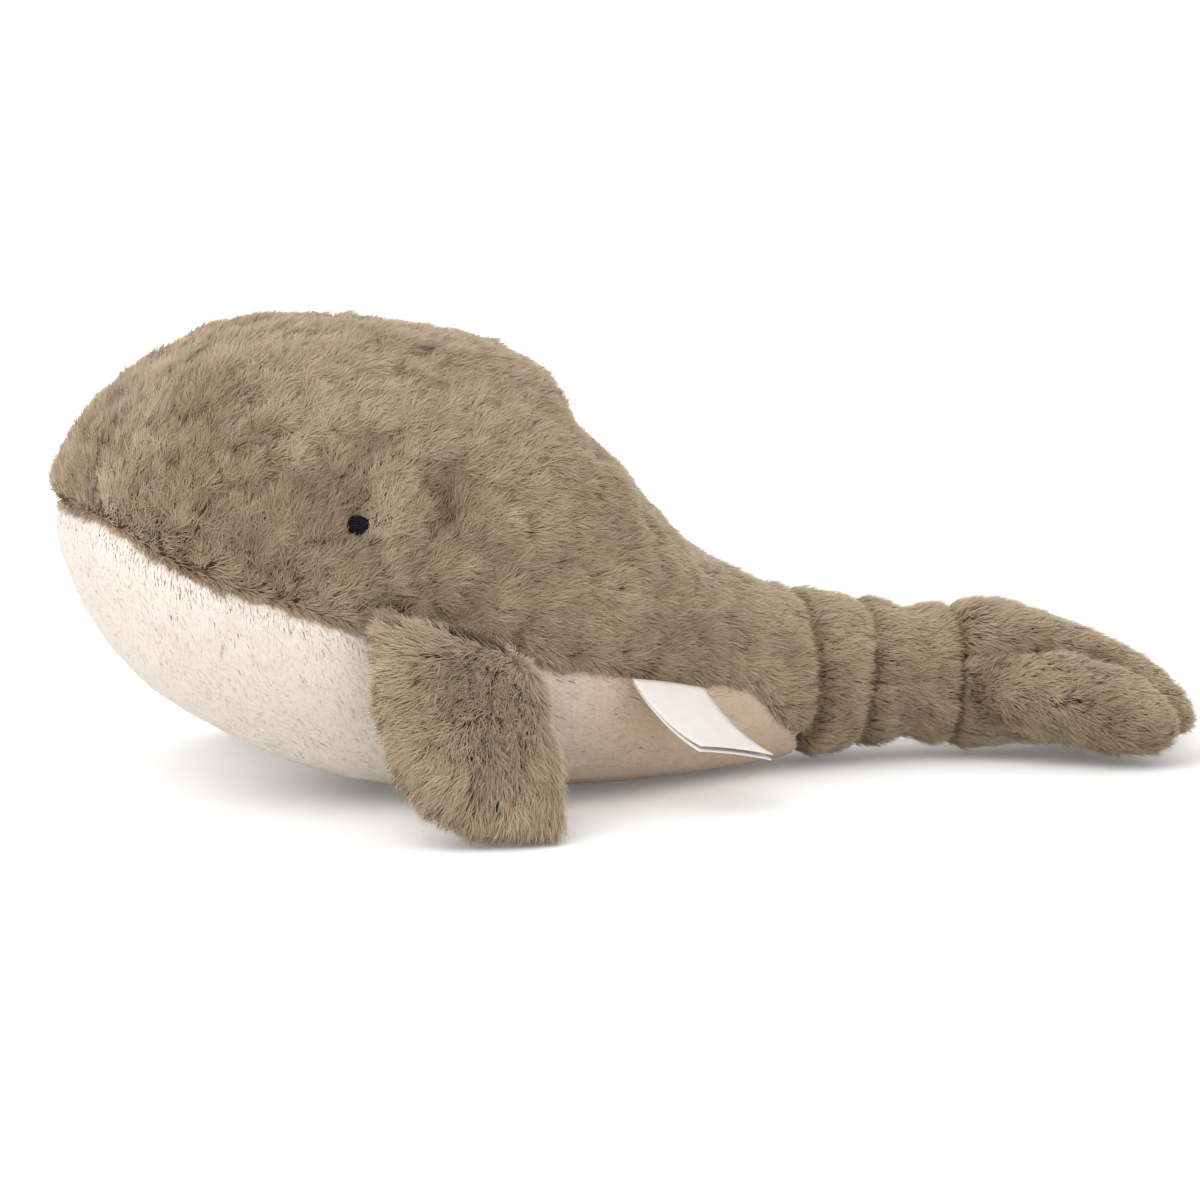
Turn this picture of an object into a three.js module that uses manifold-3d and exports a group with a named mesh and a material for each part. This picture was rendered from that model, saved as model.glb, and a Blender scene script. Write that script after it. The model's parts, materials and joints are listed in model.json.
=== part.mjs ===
// Plush whale, a stuffed toy about 39 cm long. The nose points along -X, the tail along +X and +Z is up.
// The origin is on the table, in the middle of the flat patch that the belly rests on.
//
// The toy is a bag of fur fabric sewn from a left and a right back panel and a pale belly panel, filled
// with fibre. Its tail narrows in two gathered rings and ends in a fluke of two fat lobes. A stuffed fin is
// sewn into each side seam, an eye is embroidered on each cheek and a doubled ribbon sticks out of the left
// seam. Every skin is as thick as its cloth and pile together, so its outside is where the fur's tips end.
//
// The trunk, the two rings and the fluke meet in ball-shaped folds: the front of each piece is a ball that
// turns in a cup in the piece before it, as the real tail bends at its gathers.

import * as THREE from "three";
import { mergeVertices } from "three/addons/utils/BufferGeometryUtils.js";
import Module from "manifold-3d";

const wasm = await Module();
wasm.setup();

const degrees = THREE.MathUtils.degToRad;

// Between pieces
const gap = 0.3; // between neighbouring pieces
const overrun = 20; // how far a cutter runs past what it cuts

// Trunk, from the nose to the first crease of the tail
const trunkLength = 251;
const noseToOrigin = 190;
const headHeight = 160;
const headWidth = 150;
const trunkSkin = 8; // cloth and pile
const trunkRings = 26;
const trunkSides = 28;
const restDepth = 0.5; // how deep the table presses the belly flat
const backFullness = 0.92; // a section's power above its widest level: under 1 it is fuller than an ellipse

// Tail: each ring's length is from its own crease to the next
const rimAngle = degrees(64); // how far round its ball each cup reaches
const foldGap = 0.8; // between a ball and its cup
const lipThickness = 0.9; // of the cup's edge
const foldRadii = [28.5, 25.5, 25.5];
const foldHeights = [30, 28.8, 26.8];
const foldTurns = [degrees(-6), degrees(-6), degrees(-6)]; // the tail lies curled to the left
const ringLengths = [24, 33];
const tailSkin = 6;
const tailSides = 20;

// Fluke lobes
const lobeLength = 72;
const lobeWidth = 50;
const lobeThickness = 37;
const lobeSplay = degrees(23);
const lobeRings = 12;
const lobeSides = 16;

// Fins
const finLength = 61;
const finWidth = 64;
const finThickness = 30;
const finEdge = 4.5; // radius of the thin edge that is sewn into the seam
const finFromNose = 106.5; // nose to the middle of the root
const finSplay = degrees(31); // from hanging straight down
const finSkin = 6;
const finRings = 12;
const finSides = 16;

// Eyes
const eyeFromNose = 77;
const eyeHeight = 101;
const eyeRadius = 4.2;
const eyeThickness = 3.2;
const eyeSides = 12;
const dimpleRadius = 8.5; // where the thread draws the cheek in
const dimpleDepth = 3;

// Label, a ribbon doubled over
const labelFromNose = 188;
const labelWidth = 35;
const labelLength = 40;
const labelDroop = degrees(40); // its slope where it leaves the seam
const labelCurl = degrees(26); // how much it levels out towards its end
const ribbonThickness = 0.6;
const plySpread = 1.6; // between the two plies at their free end

const taupe = new THREE.MeshStandardMaterial({ color: 0x94826c, roughness: 0.95, metalness: 0 });
const cream = new THREE.MeshStandardMaterial({ color: 0xe6dacd, roughness: 0.95, metalness: 0 });
const fibre = new THREE.MeshStandardMaterial({ color: 0xf1efe9, roughness: 1, metalness: 0 });
const blackThread = new THREE.MeshStandardMaterial({ color: 0x14161a, roughness: 0.8, metalness: 0 });
const ribbon = new THREE.MeshStandardMaterial({ color: 0xefe9e4, roughness: 0.6, metalness: 0 });

const whale = new THREE.Group();

// Solids

/** A closed geometry through rings of equally many points, each end closed by a fan. */
function loft(rings) {
  const sides = rings[0].length;
  const points = rings.flat();
  const faces = [];
  for (let i = 0; i + 1 < rings.length; i++)
    for (let j = 0; j < sides; j++) {
      const a = i * sides + j;
      const b = i * sides + ((j + 1) % sides);
      faces.push(a, a + sides, b, b, a + sides, b + sides);
    }
  const last = (rings.length - 1) * sides;
  const front = points.push(middleOf(rings[0])) - 1;
  const end = points.push(middleOf(rings[rings.length - 1])) - 1;
  for (let j = 0; j < sides; j++) {
    const k = (j + 1) % sides;
    faces.push(front, j, k);
    faces.push(end, last + k, last + j);
  }
  const geometry = new THREE.BufferGeometry().setFromPoints(points);
  geometry.setIndex(faces);
  return geometry;
}

/** Rings drawn in by an ease all round and at both ends, for what fills the form that they make. */
function eased(rings, ease) {
  return rings.map((ring, i) => {
    const middle = middleOf(ring);
    const inwards = i === 0 ? ease : i === rings.length - 1 ? -ease : 0;
    return ring.map((point) => {
      const toMiddle = middle.clone().sub(point).setLength(ease);
      return point.clone().add(toMiddle).add(new THREE.Vector3(inwards, 0, 0));
    });
  });
}

function middleOf(points) {
  const middle = new THREE.Vector3();
  for (const point of points) middle.add(point);
  return middle.divideScalar(points.length);
}

/** A three.js geometry as a solid that can be joined and cut, turned right side out if need be. */
function solid(geometry, matrix = new THREE.Matrix4()) {
  const plain = geometry.clone();
  plain.deleteAttribute("normal");
  plain.deleteAttribute("uv");
  plain.applyMatrix4(matrix);
  const merged = mergeVertices(plain);
  const vertProperties = merged.attributes.position.array;
  const triVerts = new Uint32Array(merged.index.array);
  const made = new wasm.Manifold(new wasm.Mesh({ numProp: 3, vertProperties, triVerts }));
  if (made.volume() > 0) return made;
  for (let i = 0; i < triVerts.length; i += 3)
    [triVerts[i + 1], triVerts[i + 2]] = [triVerts[i + 2], triVerts[i + 1]];
  return new wasm.Manifold(new wasm.Mesh({ numProp: 3, vertProperties, triVerts }));
}

function piece(name, body, material) {
  const mesh = body.getMesh();
  const stride = mesh.numProp;
  const positions = new Float32Array(mesh.numVert * 3);
  for (let i = 0; i < mesh.numVert; i++)
    positions.set(mesh.vertProperties.subarray(i * stride, i * stride + 3), i * 3);
  const geometry = new THREE.BufferGeometry();
  geometry.setAttribute("position", new THREE.BufferAttribute(positions, 3));
  geometry.setIndex(new THREE.BufferAttribute(mesh.triVerts, 1));
  geometry.computeVertexNormals();
  const made = new THREE.Mesh(geometry, material);
  made.name = name;
  whale.add(made);
}

function block(low, high) {
  const size = high.clone().sub(low);
  const place = low.clone().add(high).divideScalar(2);
  return solid(new THREE.BoxGeometry(size.x, size.y, size.z), new THREE.Matrix4().setPosition(place));
}

/** A ball whose poles point fore and aft, as the rings' sections do. */
function ball(radius, centre, sides) {
  const turned = new THREE.Matrix4().makeRotationZ(Math.PI / 2).setPosition(centre);
  return solid(new THREE.SphereGeometry(radius, sides, sides / 2), turned);
}

/** Smooth curves through a table's columns, all read at one share of the way down it. */
function columns(rows, keys) {
  const curves = keys.map((key) => {
    const points = rows.map((row) => new THREE.Vector2(0, row[key]));
    return new THREE.SplineCurve(points);
  });
  return (share) => Object.fromEntries(keys.map((key, i) => [key, curves[i].getPoint(share).y]));
}

/** How far down a table a rising value reaches a target, found by halving. */
function shareWhere(valueAt, target) {
  const halvings = 20;
  let low = 0;
  let high = 1;
  for (let i = 0; i < halvings; i++) {
    const middle = (low + high) / 2;
    if (valueAt(middle) < target) low = middle;
    else high = middle;
  }
  return low;
}

/**
 * One ring in the plane at x. It is an ellipse round its middle, or fuller by a power under 1 in its upper
 * or lower half, and each half has its own height.
 */
function section({ x, y = 0, z = 0, halfWidth, up, down = up, upper = 1, lower = 1 }, sides) {
  const ring = [];
  for (let j = 0; j < sides; j++) {
    const angle = (2 * Math.PI * (j + 0.5)) / sides;
    const sine = Math.sin(angle);
    const cosine = Math.cos(angle);
    const power = cosine > 0 ? upper : lower;
    const height = cosine > 0 ? up : down;
    const across = Math.sign(sine) * Math.abs(sine) ** power;
    const upwards = Math.sign(cosine) * Math.abs(cosine) ** power;
    ring.push(new THREE.Vector3(x, y + halfWidth * across, z + height * upwards));
  }
  return ring;
}

// Trunk form

// How far back along the trunk each station is, its top, lowest and widest level as shares of the head's
// height, its width as a share of the head's, and the power of its lower half, which the table flattens.
const stationShares = [
  { back: 0.0, top: 0.64, low: 0.585, level: 0.615, wide: 0.1, sag: 0.95 },
  { back: 0.006, top: 0.678, low: 0.525, level: 0.61, wide: 0.33, sag: 0.95 },
  { back: 0.02, top: 0.732, low: 0.45, level: 0.6, wide: 0.53, sag: 0.95 },
  { back: 0.046, top: 0.8, low: 0.36, level: 0.58, wide: 0.685, sag: 0.95 },
  { back: 0.09, top: 0.868, low: 0.262, level: 0.555, wide: 0.805, sag: 0.95 },
  { back: 0.155, top: 0.928, low: 0.18, level: 0.52, wide: 0.895, sag: 0.93 },
  { back: 0.235, top: 0.975, low: 0.11, level: 0.49, wide: 0.955, sag: 0.9 },
  { back: 0.325, top: 0.995, low: 0.048, level: 0.46, wide: 0.988, sag: 0.86 },
  { back: 0.42, top: 0.988, low: 0.013, level: 0.435, wide: 1.0, sag: 0.82 },
  { back: 0.518, top: 0.958, low: 0.0, level: 0.41, wide: 0.985, sag: 0.78 },
  { back: 0.604, top: 0.92, low: 0.0, level: 0.385, wide: 0.94, sag: 0.7 },
  { back: 0.665, top: 0.868, low: 0.0, level: 0.36, wide: 0.88, sag: 0.65 },
  { back: 0.713, top: 0.772, low: 0.0, level: 0.335, wide: 0.81, sag: 0.61 },
  { back: 0.757, top: 0.662, low: 0.0, level: 0.31, wide: 0.735, sag: 0.59 },
  { back: 0.8, top: 0.575, low: 0.0, level: 0.285, wide: 0.665, sag: 0.59 },
  { back: 0.845, top: 0.506, low: 0.0, level: 0.26, wide: 0.59, sag: 0.61 },
  { back: 0.892, top: 0.452, low: 0.0, level: 0.235, wide: 0.52, sag: 0.66 },
  { back: 0.944, top: 0.41, low: 0.003, level: 0.212, wide: 0.455, sag: 0.75 },
  { back: 0.985, top: 0.383, low: 0.01, level: 0.197, wide: 0.41, sag: 0.86 },
];
const stationAt = columns(stationShares, ["back", "top", "low", "level", "wide", "sag"]);

/** The trunk's section at a share of the way down the table, taken in by an inset. */
function trunkStation(share, inset) {
  const s = stationAt(share);
  const level = s.level * headHeight;
  return {
    x: -noseToOrigin + s.back * trunkLength + inset * (1 - share),
    z: level,
    halfWidth: (s.wide * headWidth) / 2 - inset,
    up: s.top * headHeight - level - inset,
    down: level - s.low * headHeight + restDepth - inset,
    upper: backFullness,
    lower: s.sag,
  };
}

/** Half the trunk's width at a place on its flank. */
function flank(x, z) {
  const share = shareWhere((along) => trunkStation(along, 0).x, x);
  const s = trunkStation(share, 0);
  const rise = z > s.z ? (z - s.z) / s.up : (s.z - z) / s.down;
  const power = z > s.z ? s.upper : s.lower;
  return s.halfWidth * (1 - rise ** (2 / power)) ** (power / 2);
}

/** Rings of the trunk from its nose to the rim of the first fold. */
function trunkForm(inset, ringCount, sideCount) {
  const rings = [];
  for (let i = 0; i < ringCount; i++) {
    const s = trunkStation(i / (ringCount - 1), inset);
    if (Math.min(s.up, s.down, s.halfWidth) > gap) rings.push(section(s, sideCount));
  }
  const rim = rimRadius(0) + lipThickness - inset;
  const x = trunkLength - noseToOrigin;
  rings.push(section({ x, z: foldHeights[0], halfWidth: rim, up: rim }, sideCount));
  return rings;
}

// Folds of the tail

function rimRadius(i) {
  return (foldRadii[i] + foldGap) * Math.sin(rimAngle);
}

/** How far behind its crease a fold's ball has its middle. */
function rimDepth(i) {
  return (foldRadii[i] + foldGap) * Math.cos(rimAngle);
}

const folds = [new THREE.Vector3(trunkLength - noseToOrigin + rimDepth(0), 0, foldHeights[0])];
const headings = [foldTurns[0]];
ringLengths.forEach((length, i) => {
  const step = ringStep(i);
  const along = new THREE.Vector3(step * Math.cos(headings[i]), step * Math.sin(headings[i]), 0);
  folds.push(folds[i].clone().add(along).setZ(foldHeights[i + 1]));
  headings.push(headings[i] + foldTurns[i + 1]);
});

/** From the middle of one fold's ball to the middle of the next, along the ring between them. */
function ringStep(i) {
  return ringLengths[i] - rimDepth(i) + rimDepth(i + 1);
}

/** A frame at a fold with its X along the piece behind it. */
function foldFrame(i) {
  return new THREE.Matrix4().makeRotationZ(headings[i]).setPosition(folds[i]);
}

const tableTop = block(
  new THREE.Vector3(-noseToOrigin - overrun, -headWidth, -headHeight),
  new THREE.Vector3(trunkLength, headWidth, 0),
);
const leftSide = block(
  new THREE.Vector3(-noseToOrigin - overrun, -headWidth, -headHeight),
  new THREE.Vector3(trunkLength, -gap / 2, headHeight + overrun),
);
const rightSide = leftSide.mirror([0, 1, 0]);

// Trunk

const trunkCup = foldRadii[0] + foldGap;
const trunkLining = trunkForm(trunkSkin, trunkRings / 2, trunkSides / 2);
const trunkHollow = solid(loft(trunkLining)).subtract(ball(trunkCup + trunkSkin, folds[0], tailSides / 2));
const trunkFilling = solid(loft(eased(trunkLining, gap))).subtract(
  ball(trunkCup + trunkSkin + gap, folds[0], tailSides / 2),
);

/** The cheek's outward direction at a point on the flank, from the slopes beside it. */
function outward(x, z, side) {
  const acrossX = (flank(x + gap, z) - flank(x - gap, z)) / (2 * gap);
  const acrossZ = (flank(x, z + gap) - flank(x, z - gap)) / (2 * gap);
  return new THREE.Vector3(-acrossX, side, -acrossZ).normalize();
}

const dimpleBall = (dimpleRadius ** 2 + dimpleDepth ** 2) / (2 * dimpleDepth);
const eyeX = -noseToOrigin + eyeFromNose;

/** The hollow round an eye and the eye in it, on the side that is -1 for left and 1 for right. */
function eyeOn(side) {
  const normal = outward(eyeX, eyeHeight, side);
  const cheek = new THREE.Vector3(eyeX, side * flank(eyeX, eyeHeight), eyeHeight);
  const centre = cheek.clone().addScaledVector(normal, dimpleBall - dimpleDepth);
  const dimple = ball(dimpleBall, centre, tailSides);
  const turn = new THREE.Quaternion().setFromUnitVectors(new THREE.Vector3(0, 1, 0), normal);
  const bottom = cheek.clone().addScaledVector(normal, gap - dimpleDepth);
  const flat = new THREE.Vector3(eyeRadius, eyeThickness, eyeRadius);
  const place = new THREE.Matrix4().compose(bottom, turn, flat);
  const dome = solid(new THREE.SphereGeometry(1, eyeSides, eyeSides / 2), place);
  return { dimple, eye: dome.intersect(ball(dimpleBall - gap, centre, tailSides)) };
}

const leftEye = eyeOn(-1);
const rightEye = eyeOn(1);
const trunkOuter = solid(loft(trunkForm(0, trunkRings, trunkSides)))
  .subtract(tableTop)
  .subtract(ball(trunkCup, folds[0], tailSides))
  .subtract(leftEye.dimple)
  .subtract(rightEye.dimple);

// The side seam between back and belly: how far back along the trunk it is, and its height as a share of
// the head's.
const seamShares = [
  [0.0, 0.615],
  [0.012, 0.605],
  [0.032, 0.58],
  [0.07, 0.54],
  [0.14, 0.496],
  [0.22, 0.453],
  [0.315, 0.404],
  [0.45, 0.353],
  [0.585, 0.308],
  [0.7, 0.272],
  [0.81, 0.228],
  [0.88, 0.212],
  [0.912, 0.186],
  [0.936, 0.138],
  [0.966, 0.088],
  [0.99, 0.045],
];

const seam = new THREE.SplineCurve(
  seamShares.map(([back, height]) => {
    return new THREE.Vector2(-noseToOrigin + back * trunkLength, height * headHeight);
  }),
);

function seamHeight(x) {
  return seam.getPoint(shareWhere((along) => seam.getPoint(along).x, x)).y;
}

/** The direction square to the seam and upwards. */
function upFromSeam(share) {
  const along = seam.getTangent(share);
  return new THREE.Vector2(-along.y, along.x);
}

/** Everything below the side seam, or below a line a little above it. */
function belowSeam(lift) {
  const points = seam.getPoints(2 * seamShares.length);
  points.forEach((point, i) => point.addScaledVector(upFromSeam(i / (points.length - 1)), lift));
  const bottomCorner = new THREE.Vector2(points[points.length - 1].x + lift, -overrun);
  const frontBottom = new THREE.Vector2(-noseToOrigin - overrun, -overrun);
  const frontTop = new THREE.Vector2(-noseToOrigin - overrun, points[0].y);
  const outline = new THREE.Shape([...points, bottomCorner, frontBottom, frontTop]);
  const depth = 2 * headWidth;
  const across = new THREE.ExtrudeGeometry(outline, { depth, bevelEnabled: false, curveSegments: 1 });
  return solid(across, new THREE.Matrix4().makeRotationX(Math.PI / 2).setPosition(0, headWidth, 0));
}

const trunkSkinBody = trunkOuter.subtract(trunkHollow);
const back = trunkSkinBody.subtract(belowSeam(gap));
piece("left_back_panel", back.intersect(leftSide), taupe);
piece("right_back_panel", back.intersect(rightSide), taupe);
piece("belly_panel", trunkSkinBody.intersect(belowSeam(0)), cream);
piece("trunk_stuffing", trunkFilling, fibre);
piece("left_eye", leftEye.eye, blackThread);
piece("right_eye", rightEye.eye, blackThread);

// Tail rings

// Each ring behind its ball: how far along to the next crease, and its girth as a share of its ball's.
const ringShares = [
  [
    { along: 0.0, girth: 1.0 },
    { along: 0.3, girth: 1.012 },
    { along: 0.6, girth: 0.99 },
    { along: 0.85, girth: 0.94 },
  ],
  [
    { along: 0.0, girth: 1.0 },
    { along: 0.18, girth: 0.93 },
    { along: 0.38, girth: 0.9 },
    { along: 0.62, girth: 0.96 },
    { along: 0.85, girth: 1.01 },
  ],
];

/** Rings of a tail ring's form: the front half of its ball, then its tube to the rim of the next fold. */
function ringForm(i, inset, sides) {
  const ringSteps = 5;
  const ballSteps = sides / 4;
  const rings = [];
  const radius = foldRadii[i] - inset;
  for (let step = 0.5; step < ballSteps; step++) {
    const angle = (Math.PI / 2) * (step / ballSteps);
    const r = radius * Math.sin(angle);
    rings.push(section({ x: -radius * Math.cos(angle), halfWidth: r, up: r }, sides));
  }
  const girthAt = columns(ringShares[i], ["along", "girth"]);
  const room = ringStep(i) - rimDepth(i + 1);
  const rise = foldHeights[i + 1] - foldHeights[i];
  for (let step = 0; step <= ringSteps; step++) {
    const s = girthAt(step / ringSteps);
    const r = s.girth * foldRadii[i] - inset;
    rings.push(section({ x: s.along * room, z: s.along * rise, halfWidth: r, up: r }, sides));
  }
  const rim = rimRadius(i + 1) + lipThickness - inset;
  rings.push(section({ x: room, z: rise, halfWidth: rim, up: rim }, sides));
  return rings;
}

["tail_root", "tail_stock"].forEach((name, i) => {
  const cupRadius = foldRadii[i + 1] + foldGap;
  const next = new THREE.Vector3(ringStep(i), 0, foldHeights[i + 1] - foldHeights[i]);
  const lining = ringForm(i, tailSkin, tailSides / 2);
  const fillingCup = ball(cupRadius + tailSkin + gap, next, tailSides / 2);
  const outer = solid(loft(ringForm(i, 0, tailSides))).subtract(ball(cupRadius, next, tailSides));
  const inner = solid(loft(lining)).subtract(ball(cupRadius + tailSkin, next, tailSides / 2));
  const filling = solid(loft(eased(lining, gap))).subtract(fillingCup);
  const skin = outer.subtract(inner);
  const place = foldFrame(i).elements;
  piece(name + "_left_panel", skin.intersect(leftSide).transform(place), taupe);
  piece(name + "_right_panel", skin.intersect(rightSide).transform(place), taupe);
  piece(name + "_stuffing", filling.transform(place), fibre);
});

// Fluke

// How far out along a lobe, its width and thickness as shares of the lobe's, and how far its middle has
// sunk as a share of the last fold's height.
const lobeShares = [
  { out: 0.0, wide: 0.74, thick: 1.2, sink: 0.0 },
  { out: 0.16, wide: 0.86, thick: 1.17, sink: 0.03 },
  { out: 0.34, wide: 0.97, thick: 1.06, sink: 0.11 },
  { out: 0.54, wide: 1.0, thick: 0.95, sink: 0.24 },
  { out: 0.74, wide: 0.9, thick: 0.83, sink: 0.37 },
  { out: 0.88, wide: 0.68, thick: 0.64, sink: 0.46 },
  { out: 0.965, wide: 0.4, thick: 0.38, sink: 0.51 },
  { out: 1.0, wide: 0.12, thick: 0.12, sink: 0.53 },
];
const lobeAt = columns(lobeShares, ["out", "wide", "thick", "sink"]);

function lobe(side, inset, ease, stations, sides) {
  const rings = [];
  for (let i = 0; i < stations; i++) {
    const s = lobeAt(i / (stations - 1));
    const halfWidth = (s.wide * lobeWidth) / 2 - inset;
    const halfThickness = (s.thick * lobeThickness) / 2 - inset;
    const x = s.out * lobeLength - inset * s.out;
    if (Math.min(halfWidth, halfThickness) > gap)
      rings.push(section({ x, z: -s.sink * foldHeights[2], halfWidth, up: halfThickness }, sides));
  }
  const turned = new THREE.Matrix4().makeRotationZ(side * lobeSplay);
  return solid(loft(ease ? eased(rings, ease) : rings), turned);
}

/** The whole fluke: its ball and both lobes. */
function flukeForm(inset, ease, fineness) {
  const stations = Math.round(lobeRings * fineness);
  const sides = lobeSides * fineness;
  const lobes = lobe(-1, inset, ease, stations, sides).add(lobe(1, inset, ease, stations, sides));
  return lobes.add(ball(foldRadii[2] - inset - ease, new THREE.Vector3(), tailSides * fineness));
}

const flukeSkin = flukeForm(0, 0, 1).subtract(flukeForm(tailSkin, 0, 1 / 2));

/** Everything above or below the seam round the fluke, which sinks with the lobes. */
function flukeSide(up) {
  const lift = (up * gap) / 2;
  const ends = [-foldRadii[2] - overrun, lobeLength + overrun];
  const seam = lobeShares.map((s) => new THREE.Vector2(s.out * lobeLength, lift - s.sink * foldHeights[2]));
  seam.unshift(new THREE.Vector2(ends[0], lift));
  seam.push(new THREE.Vector2(ends[1], seam[seam.length - 1].y));
  const far = [new THREE.Vector2(ends[1], up * headHeight), new THREE.Vector2(ends[0], up * headHeight)];
  const options = { depth: 2 * headWidth, bevelEnabled: false };
  const across = new THREE.ExtrudeGeometry(new THREE.Shape([...seam, ...far]), options);
  return solid(across, new THREE.Matrix4().makeRotationX(Math.PI / 2).setPosition(0, headWidth, 0));
}

const flukePlace = foldFrame(2).elements;
piece("fluke_upper_panel", flukeSkin.intersect(flukeSide(1)).transform(flukePlace), taupe);
piece("fluke_lower_panel", flukeSkin.intersect(flukeSide(-1)).transform(flukePlace), taupe);
piece("fluke_stuffing", flukeForm(tailSkin, gap, 1 / 2).transform(flukePlace), fibre);

// Fins

// How far out along a fin, its width as a share of the fin's, how far its outer and inner faces stand from
// its middle as shares of half its thickness, and how far its middle lies aft as a share of its width. The
// outer face bulges over the seam.
const finShares = [
  { out: 0.0, wide: 0.92, outer: 0.95, inner: 0.3, aft: 0.0 },
  { out: 0.09, wide: 0.965, outer: 1.04, inner: 0.52, aft: 0.0 },
  { out: 0.22, wide: 0.99, outer: 1.07, inner: 0.8, aft: -0.01 },
  { out: 0.4, wide: 1.0, outer: 1.02, inner: 1.0, aft: -0.02 },
  { out: 0.6, wide: 0.98, outer: 0.94, inner: 1.0, aft: -0.01 },
  { out: 0.78, wide: 0.93, outer: 0.84, inner: 0.9, aft: 0.0 },
  { out: 0.91, wide: 0.81, outer: 0.66, inner: 0.7, aft: 0.01 },
  { out: 0.975, wide: 0.62, outer: 0.42, inner: 0.44, aft: 0.02 },
  { out: 1.0, wide: 0.34, outer: 0.16, inner: 0.16, aft: 0.02 },
];
const finAt = columns(finShares, ["out", "wide", "outer", "inner", "aft"]);

const finX = -noseToOrigin + finFromNose;
const rootFront = new THREE.Vector3(finX - finWidth / 2, 0, seamHeight(finX - finWidth / 2));
const rootBack = new THREE.Vector3(finX + finWidth / 2, 0, seamHeight(finX + finWidth / 2));
const rootLine = rootBack.clone().sub(rootFront).normalize();
const rootMiddle = new THREE.Vector3(finX, 0, seamHeight(finX));

/** Rings of a fin in its own frame: +X out to its tip, +Y aft along its root, +Z its outer face. */
function finForm(inset, stations, sides) {
  const rootSteps = 3;
  const rings = [];
  const skew = Math.tan(Math.asin(-rootLine.z)); // the seam slopes, the fin hangs straight
  const edge = finEdge - inset;
  for (let i = 0; i < rootSteps && edge > 0; i++) {
    const angle = (Math.PI / 2) * ((i + 0.5) / rootSteps);
    const half = edge * Math.sin(angle);
    const halfWidth = (finShares[0].wide * finWidth) / 2 - edge + half;
    rings.push(section({ x: -edge * Math.cos(angle), halfWidth, up: half }, sides));
  }
  for (let i = 0; i < stations; i++) {
    const s = finAt(i / (stations - 1));
    const x = s.out * (finLength - inset);
    const halfWidth = (s.wide * finWidth) / 2 - inset;
    const up = (s.outer * finThickness) / 2 - inset;
    const down = (s.inner * finThickness) / 2 - inset;
    if (Math.min(halfWidth, up, down) > gap)
      rings.push(section({ x, y: s.aft * finWidth + x * skew, halfWidth, up, down }, sides));
  }
  return rings;
}

const outAlongY = new THREE.Matrix4().makeBasis(
  new THREE.Vector3(0, 1, 0),
  new THREE.Vector3(1, 0, 0),
  new THREE.Vector3(0, 0, 1),
);

/** A frame with its X along the root, its Y out to the tip and its Z on the outer side. */
function finPlace(side) {
  const y = side * (flank(finX, rootMiddle.z) + gap + finEdge);
  const along = rootLine;
  const down = new THREE.Vector3(0, side * Math.sin(finSplay), -Math.cos(finSplay));
  const out = down.addScaledVector(along, -down.dot(along)).normalize();
  const face = new THREE.Vector3().crossVectors(along, out).multiplyScalar(side);
  return new THREE.Matrix4().makeBasis(along, out, face).setPosition(rootMiddle.x, y, rootMiddle.z);
}

const finOuterHalf = block(
  new THREE.Vector3(-finWidth, -finWidth, gap / 2),
  new THREE.Vector3(finWidth, finLength + overrun, finThickness),
);
const finInnerHalf = finOuterHalf.mirror([0, 0, 1]);
const finLining = finForm(finSkin, finRings / 2, finSides / 2);
const finOuter = solid(loft(finForm(0, finRings, finSides)), outAlongY);
const finSkinBody = finOuter.subtract(solid(loft(finLining), outAlongY));
const finFilling = solid(loft(eased(finLining, gap)), outAlongY);

for (const [name, side] of [["left", -1], ["right", 1]]) {
  const place = finPlace(side).elements;
  piece(name + "_fin_outer_panel", finSkinBody.intersect(finOuterHalf).transform(place), taupe);
  piece(name + "_fin_inner_panel", finSkinBody.intersect(finInnerHalf).transform(place), taupe);
  piece(name + "_fin_stuffing", finFilling.transform(place), fibre);
}

// Label

const labelX = -noseToOrigin + labelFromNose;

/** The ribbon's side view: two plies that lie together at the seam, part and level out to their end. */
function labelOutline() {
  const steps = 8;
  const walk = [];
  const place = new THREE.Vector2();
  for (let i = 0; i <= steps; i++) {
    const slope = -labelDroop + labelCurl * (i / steps);
    const square = new THREE.Vector2(-Math.sin(slope), Math.cos(slope));
    walk.push({ place: place.clone(), square, spread: (plySpread / 2) * (i / steps) });
    place.add(new THREE.Vector2(Math.cos(slope), Math.sin(slope)).multiplyScalar(labelLength / steps));
  }
  const side = (part, away) => part.map((s) => s.place.clone().addScaledVector(s.square, away(s.spread)));
  const parted = walk.slice(1);
  return new THREE.Shape([
    ...side(walk, (spread) => spread + ribbonThickness),
    ...side(parted, (spread) => spread).reverse(),
    ...side(parted, (spread) => -spread),
    ...side(walk, (spread) => -spread - ribbonThickness).reverse(),
  ]);
}

const labelAlong = new THREE.Vector3(
  labelWidth,
  flank(labelX - labelWidth / 2, seamHeight(labelX)) - flank(labelX + labelWidth / 2, seamHeight(labelX)),
  seamHeight(labelX + labelWidth / 2) - seamHeight(labelX - labelWidth / 2),
).normalize();
const labelOut = new THREE.Vector3(labelAlong.y, -labelAlong.x, 0).normalize();
const labelUp = new THREE.Vector3().crossVectors(labelAlong, labelOut).negate();
const labelRoot = new THREE.Vector3(labelX, -flank(labelX, seamHeight(labelX)), seamHeight(labelX));
labelRoot.addScaledVector(labelOut, gap + ribbonThickness);
const labelFrame = new THREE.Matrix4().makeBasis(labelOut, labelUp, labelAlong.clone().negate());
const labelSpan = new THREE.ExtrudeGeometry(labelOutline(), { depth: labelWidth, bevelEnabled: false });
labelSpan.translate(0, 0, -labelWidth / 2);
piece("label", solid(labelSpan, labelFrame.setPosition(labelRoot)), ribbon);

export default whale;
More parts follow.
